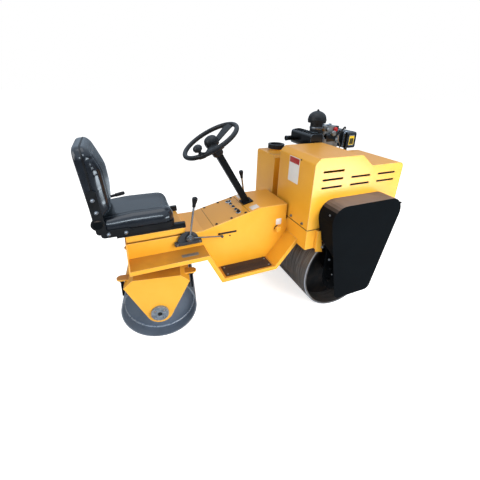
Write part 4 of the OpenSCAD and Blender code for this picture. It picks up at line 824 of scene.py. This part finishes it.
def cushion_seams(points, normals):
    """The cushion's hold and seams: its base, a border seam in from the edge, and two cross seams in its panel."""
    x, _, z = (points - cushion_mid).T * 1000
    inside = cushion_inside(points)
    on_top = np.clip(normals[:, 2] * 2 - 0.7, 0, 1)
    border = on_top * np.exp(-((inside - cushion_border) / 4) ** 2)
    cross = on_top * np.exp(-((np.abs(x + 4) - 40) / 3.5) ** 2) * (inside > cushion_border)
    base = z < 10 - cushion_half[2]
    return np.maximum(base, 0.95 * np.maximum(border, 0.6 * cross)), 3.5 * border + 1.2 * cross


def back_inside(points):
    """How far inside the back's outline places are."""
    arm = points - back_foot
    return inside_mm(arm @ back_up * 1000 - back_mid_h, arm[:, 1] * 1000, back_half_h, back_half_w, 48)


def back_form(points):
    """The back's front rolled over towards its edges and crowned in its middle."""
    inside, depth = back_inside(points), (points - back_foot) @ back_out
    crown = 1 + 0.36 * np.clip(inside / 130, 0, 1)
    return points + ((rolled(inside, 34, 0.45) * crown - 1) * depth)[:, None] * back_out


def back_seams(points, normals):
    """The back's hold and seams: its rear face, a border seam in from the edge, and a seam over each top corner."""
    arm = points - back_foot
    height, depth, inside = arm @ back_up * 1000 - back_mid_h, arm @ back_out * 1000, back_inside(points)
    on_front = np.clip(normals @ back_out * 2 - 0.7, 0, 1)
    border = on_front * np.exp(-((inside - back_border) / 4.5) ** 2)
    corner = np.exp(-((height - back_half_h + 58) / 3.5) ** 2) * (inside < back_border)
    return np.maximum(depth < 9, 0.95 * np.maximum(border, 0.8 * corner)), 3.5 * border + 2 * corner * (depth > 14)


cushion_pad = sewn_pad("seat_cushion_pad", "seat_cushion", draw_in_mm=(0, 0, 1), swell_mm=12, form=cushion_form,
                       seams=cushion_seams)
back_pad = sewn_pad("seat_back_pad", "seat_back_cushion", draw_in_mm=(0, 0, 0), swell_mm=12, form=back_form,
                    seams=back_seams)
shell_ring = rounded_rectangle(2 * shell_half_w, shell_h, np.array([62, 62, 20, 20]), 12)
shell_points, shell_faces = slab(shell_ring, shell_t, back_foot + back_up * shell_h / 2000, -left, back_up, 15,
                                 crown_mm=9)
# The moulding leans back a little more than the pad, so its rear face moves out by up to 9 mm at the top.
shell_depth = np.clip((back_foot - shell_points) @ back_out * 1000 / shell_t, 0, 1)
shell_share = np.clip((shell_points - back_foot) @ back_up * 1000 / shell_h, 0, 1)
shell_points = shell_points - 0.009 * (shell_depth * shell_share)[:, None] * back_out
back_shell = piece("back_shell", "vinyl", vinyl, (shell_points, shell_faces))
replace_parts(back_shell, "seat_back_shell")
# The two strip lights are there for the gloss of the vinyl and of the hood's right side alone.
glossy_pieces = bpy.data.collections.new("glossy_pieces")
for made in (cushion_pad, back_pad, back_shell, nodes["hood_side_right"]):
    glossy_pieces.objects.link(made)
for strip_name in ("low_strip", "side_strip"):
    bpy.data.objects[strip_name].light_linking.receiver_collection = glossy_pieces
piping_ring = rounded_rectangle(2 * back_half_w + 6, 2 * back_half_h - 6, 58, 12) / 1000
piping_mid = back_foot + back_mid_h / 1000 * back_up + 0.004 * back_out
piping_path = piping_mid + piping_ring[:, :1] * left + piping_ring[:, 1:] * back_up
piece("back_piping", "vinyl", moulded_plastic, carried(circle(4.5, 10), piping_path, back_out, closed=True))
dome_nut = np.array([(0, -1), (13, -1), (14, 1), (13, 3), (9.5, 4), (9.5, 7), (8, 11), (4.5, 13.5), (0, 14.2)]) * 0.7
bracket_bolts = [(-1381, 883), (-1374, 821), (-1337, 701), (-1259, 697)]
bracket_face = 161
pivot_disc = [(0, -1), (21, -1), (22, 1), (22, 5), (19, 8), (0, 8.5)]
for side_name, side in right_and_left:
    piece(f"bracket_nuts_{side_name}", "zinc", chrome,
          *[turned(dome_nut, spot(x, side * bracket_face, z), (0, side, 0), 20) for x, z in bracket_bolts])
    piece(f"recline_pivot_{side_name}", "black_paint", powder_coat,
          turned(pivot_disc, spot(-1376, side * bracket_face, 759), (0, side, 0), 28))
grip_foot, grip_tip = spot(-1290, 172.3, 773), spot(-1240, 172.3, 782)
grip_sleeve = [(0, 0), (9, 0), (10.5, 3), (10.5, 44), (9, 50), (5, 52), (0, 52.5)]
piece("recline_grip", "black_plastic", black_rubber, turned(grip_sleeve, grip_foot, grip_tip - grip_foot, 20))


# Steering column and wheel: a square black tube on a plate, and a moulded wheel on its own shaft,
# with a collar below the hub and a spinner knob clamped to the rim.
# Satin black paint on the column, kept clean by hands and knees, with a painted highlight on its edges.
satin_black = weathered("satin_black_paint", ("#090b0d", "#0f1214"), (0.42, 0.55), grain_mm=2.2, edge_tone="#363b40",
                        specular_ior_level=0.14)
coat(satin_black, "steering_column")
wheel_mid, wheel_up = (np.array(joints["wheel_turn"][key]) for key in ("pos_m", "axis"))
wheel_fore = np.cross(left, wheel_up)
rim_radius = 0.162
rim_path = wheel_mid + rim_radius * around(turns(96), wheel_fore, left)
hub = [(0, -36), (32, -36), (37, -33), (40, -24), (41, -12), (39.5, 0), (35, 11), (27, 19), (15, 24), (0, 25.5)]


def wheel_spoke(angle_deg):
    """A moulded spoke: a flattened tube that widens to the rim and rises to it, with a ridge along its middle."""
    hub_out, rim_out, hub_drop = 24, 160, 24
    out, turn = np.linspace(hub_out, rim_out, 18)[:, None], turns(28)
    half = np.interp(out, [hub_out, 60, 120, rim_out], [27, 31, 38, 48])
    side = half * np.sign(np.cos(turn)) * np.abs(np.cos(turn)) ** 0.7
    ridge = 4.5 * np.exp(-(side / half / 0.34) ** 2) * (np.sin(turn) > 0)
    drop = hub_drop * (1 - (out - hub_out) / (rim_out - hub_out))
    rise = -drop + 5.5 * np.sign(np.sin(turn)) * np.abs(np.sin(turn)) ** 0.6 + ridge
    angle = np.radians(angle_deg)
    outward, round_it = around(angle, wheel_fore, left), around(angle, left, -wheel_fore)
    points = wheel_mid + (out[..., None] * outward + side[..., None] * round_it + rise[..., None] * wheel_up) / 1000
    ends = points[[0, -1]].mean(1, keepdims=True) + 0 * points[[0, -1]]
    return np.concatenate([ends[:1], points, ends[1:]]).reshape(-1, 3), grid_faces(len(out) + 2, len(turn))


wheel_rim = piece("wheel_rim", "black_plastic", moulded_plastic,
                  carried(circle(13, 20), rim_path, wheel_up, closed=True), wheel_spoke(18), wheel_spoke(250),
                  turned(hub, wheel_mid, wheel_up, 40), body="wheel")
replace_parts(wheel_rim, "steering_wheel")
spinner_angle = np.radians(232)
spinner_foot = wheel_mid + rim_radius * around(spinner_angle, wheel_fore, left)
spinner = [(0, 8), (12, 8), (12, 15), (9, 20), (8.5, 26), (13, 29), (21, 34), (24.5, 42), (24.5, 48), (21, 56),
           (13, 62), (0, 64)]
clamp_path = wheel_mid + rim_radius * around(spinner_angle + np.linspace(-0.1, 0.1, 7), wheel_fore, left)
piece("wheel_spinner", "black_plastic", moulded_plastic, turned(spinner, spinner_foot, wheel_up, 32),
      carried(circle(15.5, 20), clamp_path, wheel_up), body="wheel")
shaft_profile = [(0, -100), (14, -100), (14, -34), (0, -34)]
piece("wheel_shaft", "zinc", zinc_plate, turned(shaft_profile, wheel_mid, wheel_up, 24), body="wheel")
collar = [(14.6, -98), (27, -98), (32, -92), (33, -66), (29, -52), (22, -47), (14.6, -47), (14.6, -98)]
piece("column_collar", "black_plastic", moulded_plastic, turned(collar, wheel_mid, wheel_up, 40))
pin_foot = wheel_mid - 0.072 * wheel_up
piece("collar_pin", "zinc", zinc_plate,
      turned([(0, 30), (9, 30), (9, 46), (7.5, 49), (0, 49.5)], pin_foot, wheel_fore, 24))


# Levers: bright rods with black moulded knobs. The travel lever turns on a cast grey quadrant at the console's
# right and pulls a rod in a slot, and the throttle stands on the console's left.
# Dark grey enamel on a casting: satin, its edges painted paler, partly wear and partly a painted highlight.
quadrant_grey = weathered("dark_grey_enamel", ("#2f3337", "#3b3f44"), (0.4, 0.55), grain_mm=2, edge_tone="#5d6266",
                          specular_ior_level=0.35)
coat(quadrant_grey, "lever_quadrant")


def lever(name, foot, top, radius_mm):
    """A rod from foot to top with a pear-shaped knob on it, both turned about their own line."""
    along = unit(top - foot)
    length_mm = np.linalg.norm(top - foot) * 1000
    rod = piece(f"{name}_rod", "zinc", chrome,
                turned([(0, 0), (radius_mm, 0), (radius_mm, length_mm + 4), (0, length_mm + 4)], foot, along, 20))
    knob = [(0, 0), (8, 0), (9, 2), (9.4, 14), (12, 28), (14.6, 40), (15, 46), (13.6, 52), (9, 55.6), (0, 57)]
    piece(f"{name}_knob", "black_plastic", moulded_plastic, turned(knob, top, along, 28))
    return rod


quadrant_at, quadrant_up, lever_left = -952, 578, -163.3
lever_foot = spot(quadrant_at + 6, lever_left, quadrant_up + 24)
lever_top = spot(quadrant_at + 34, lever_left, quadrant_up + 205)
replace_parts(lever("travel_lever", lever_foot, lever_top, 5.5), "travel_lever")
pivot_nut = [(0, -1), (13, -1), (13, 6), (11, 9), (0, 9.5)]
pivot_washer = [(0, -14), (19, -14), (20, -12), (20, -2), (18, 0), (0, 0)]
pivot_face = lever_foot - 0.0085 * left
pivot_stud = [(0, 9), (6, 9), (6, 15), (4.5, 17), (0, 17)]
piece("travel_pivot", "zinc", zinc_plate,
      *[turned(profile, pivot_face, -left, sides)
        for profile, sides in ((pivot_washer, 32), (pivot_nut, 6), (pivot_stud, 16))])
rod_end = spot(-760, lever_left, 577)
rod_line = lever_foot + np.linspace(0.08, 1, 12)[:, None] * (rod_end - lever_foot)
piece("travel_rod", "zinc", zinc_plate, carried(circle(3.4, 12), rod_line, up),
      turned([(0, -7), (8, -7), (8, 7), (0, 7)], rod_end, left, 20),
      turned([(0, 6), (5, 6), (5, 32), (0, 32)], rod_end, left, 16))
arc_ahead, arc_up = 54 * around(np.radians(np.linspace(12, 168, 30)), *np.eye(2)).T
piece("quadrant_rim", "grey_paint", quadrant_grey,
      carried(rounded_rectangle(10, 5, 1.5, 3), spot(quadrant_at + arc_ahead, -149, quadrant_up + arc_up), left))
piece("quadrant_bolts", "zinc", zinc_plate,
      *hex_bolts(spot([quadrant_at - 62, quadrant_at + 62], -161, 569), -left, 10))
throttle_left = console_half + 7
throttle_foot, throttle_top = spot([-484, -510], throttle_left, [640, 804])
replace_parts(lever("throttle_lever", throttle_foot, throttle_top, 6), "throttle_lever")
piece("throttle_pivot", "zinc", zinc_plate,
      turned([(0, -7.5), (16, -7.5), (16, 7), (14, 9), (0, 9)], throttle_foot, left, 28),
      turned(pivot_nut, throttle_foot + 0.009 * left, left, 6))


# Steered rear end: a folded yoke over a narrow drum, with flanged bearings on its stub axle
# and scraper blades hung from four lugs. It turns under the console on a pin.
# Silver paint on rolled plate: cool and even, faintly streaked, the same on the end discs.
rear_steel = drum_finish("silver_drum_paint", "rear_drum_roll", radius_mm=204, half_mm=200, shell_mm=7,
                         shell_tones=("#6d7682", "#868e98", "#5f666e"), end_tone="#8894a3", rim_tone="#8f979f",
                         metallic=0.6)
coat(rear_steel, "rear_drum")
# Pale zinc chromate on the flanged bearings: duller and less mirror-like than the bolts, with a nearly white
# painted highlight along its edges.
flange_zinc = weathered("pale_zinc_coat", ("#6f7984", "#929ca6"), (0.38, 0.52), cloud_mm=18, grain_mm=1.5,
                        grain_depth_mm=0.05, metallic=0.35, edge_tone="#d5dbe0")
coat(flange_zinc, "bearing_flanges")
coat(cast_iron, "rear_axle")
coat(powder_coat, "rear_scrapers")
axle_mid, yoke_left = (np.array(joints["rear_drum_roll"][key]) for key in ("pos_m", "axis"))
yoke_ahead = np.cross(yoke_left, up)
# Bare weld metal: a bright rippled bead round each end disc.
weld_metal = weathered("bare_weld_metal", ("#b9c1c9", "#dde2e6"), (0.25, 0.4), cloud_mm=12, grain_mm=4, metallic=0.9)
disc_out, weld_radius = 0.1355, 0.1945
flange_out, flange_ring = 0.24, 0.033
lug_high, lug_ahead, lug_out = 0.387, 0.187, 0.156
weld_turn = turns(160)
weld_ripple = 1 + 0.16 * np.sin(weld_turn * 40) ** 2 + 0.1 * np.sin(weld_turn * 7)
for side_name, side in right_and_left:
    weld_path = axle_mid + side * disc_out * yoke_left + weld_radius * around(weld_turn, yoke_ahead, up)
    piece(f"weld_bead_{side_name}", "drum_steel", weld_metal,
          carried(circle(4.5, 10), weld_path, yoke_left, closed=True, growth=weld_ripple), body="rear_drum")
    face = axle_mid + side * flange_out * yoke_left
    # A black disc on each flange's middle: painted shade for the dark bore.
    piece(f"flange_bore_shade_{side_name}", "rubber", black_rubber,
          turned([(0, -1), (12, -1), (12.5, 0.6), (9, 1.4), (0, 1.6)], face, side * yoke_left, 24), body="yoke")
    piece(f"flange_bolts_{side_name}", "zinc", chrome,
          *hex_bolts(face + flange_ring * around(turns(4) + np.pi / 4, yoke_ahead, up), side * yoke_left, 11),
          body="yoke")
lug_places = [axle_mid * (1, 1, 0) + lug_high * up + end * lug_ahead * yoke_ahead + side * lug_out * yoke_left
              for end in (-1, 1) for side in (-1, 1)]
piece("lug_bolts", "zinc", zinc_plate, *hex_bolts(lug_places, up, 13), body="yoke")
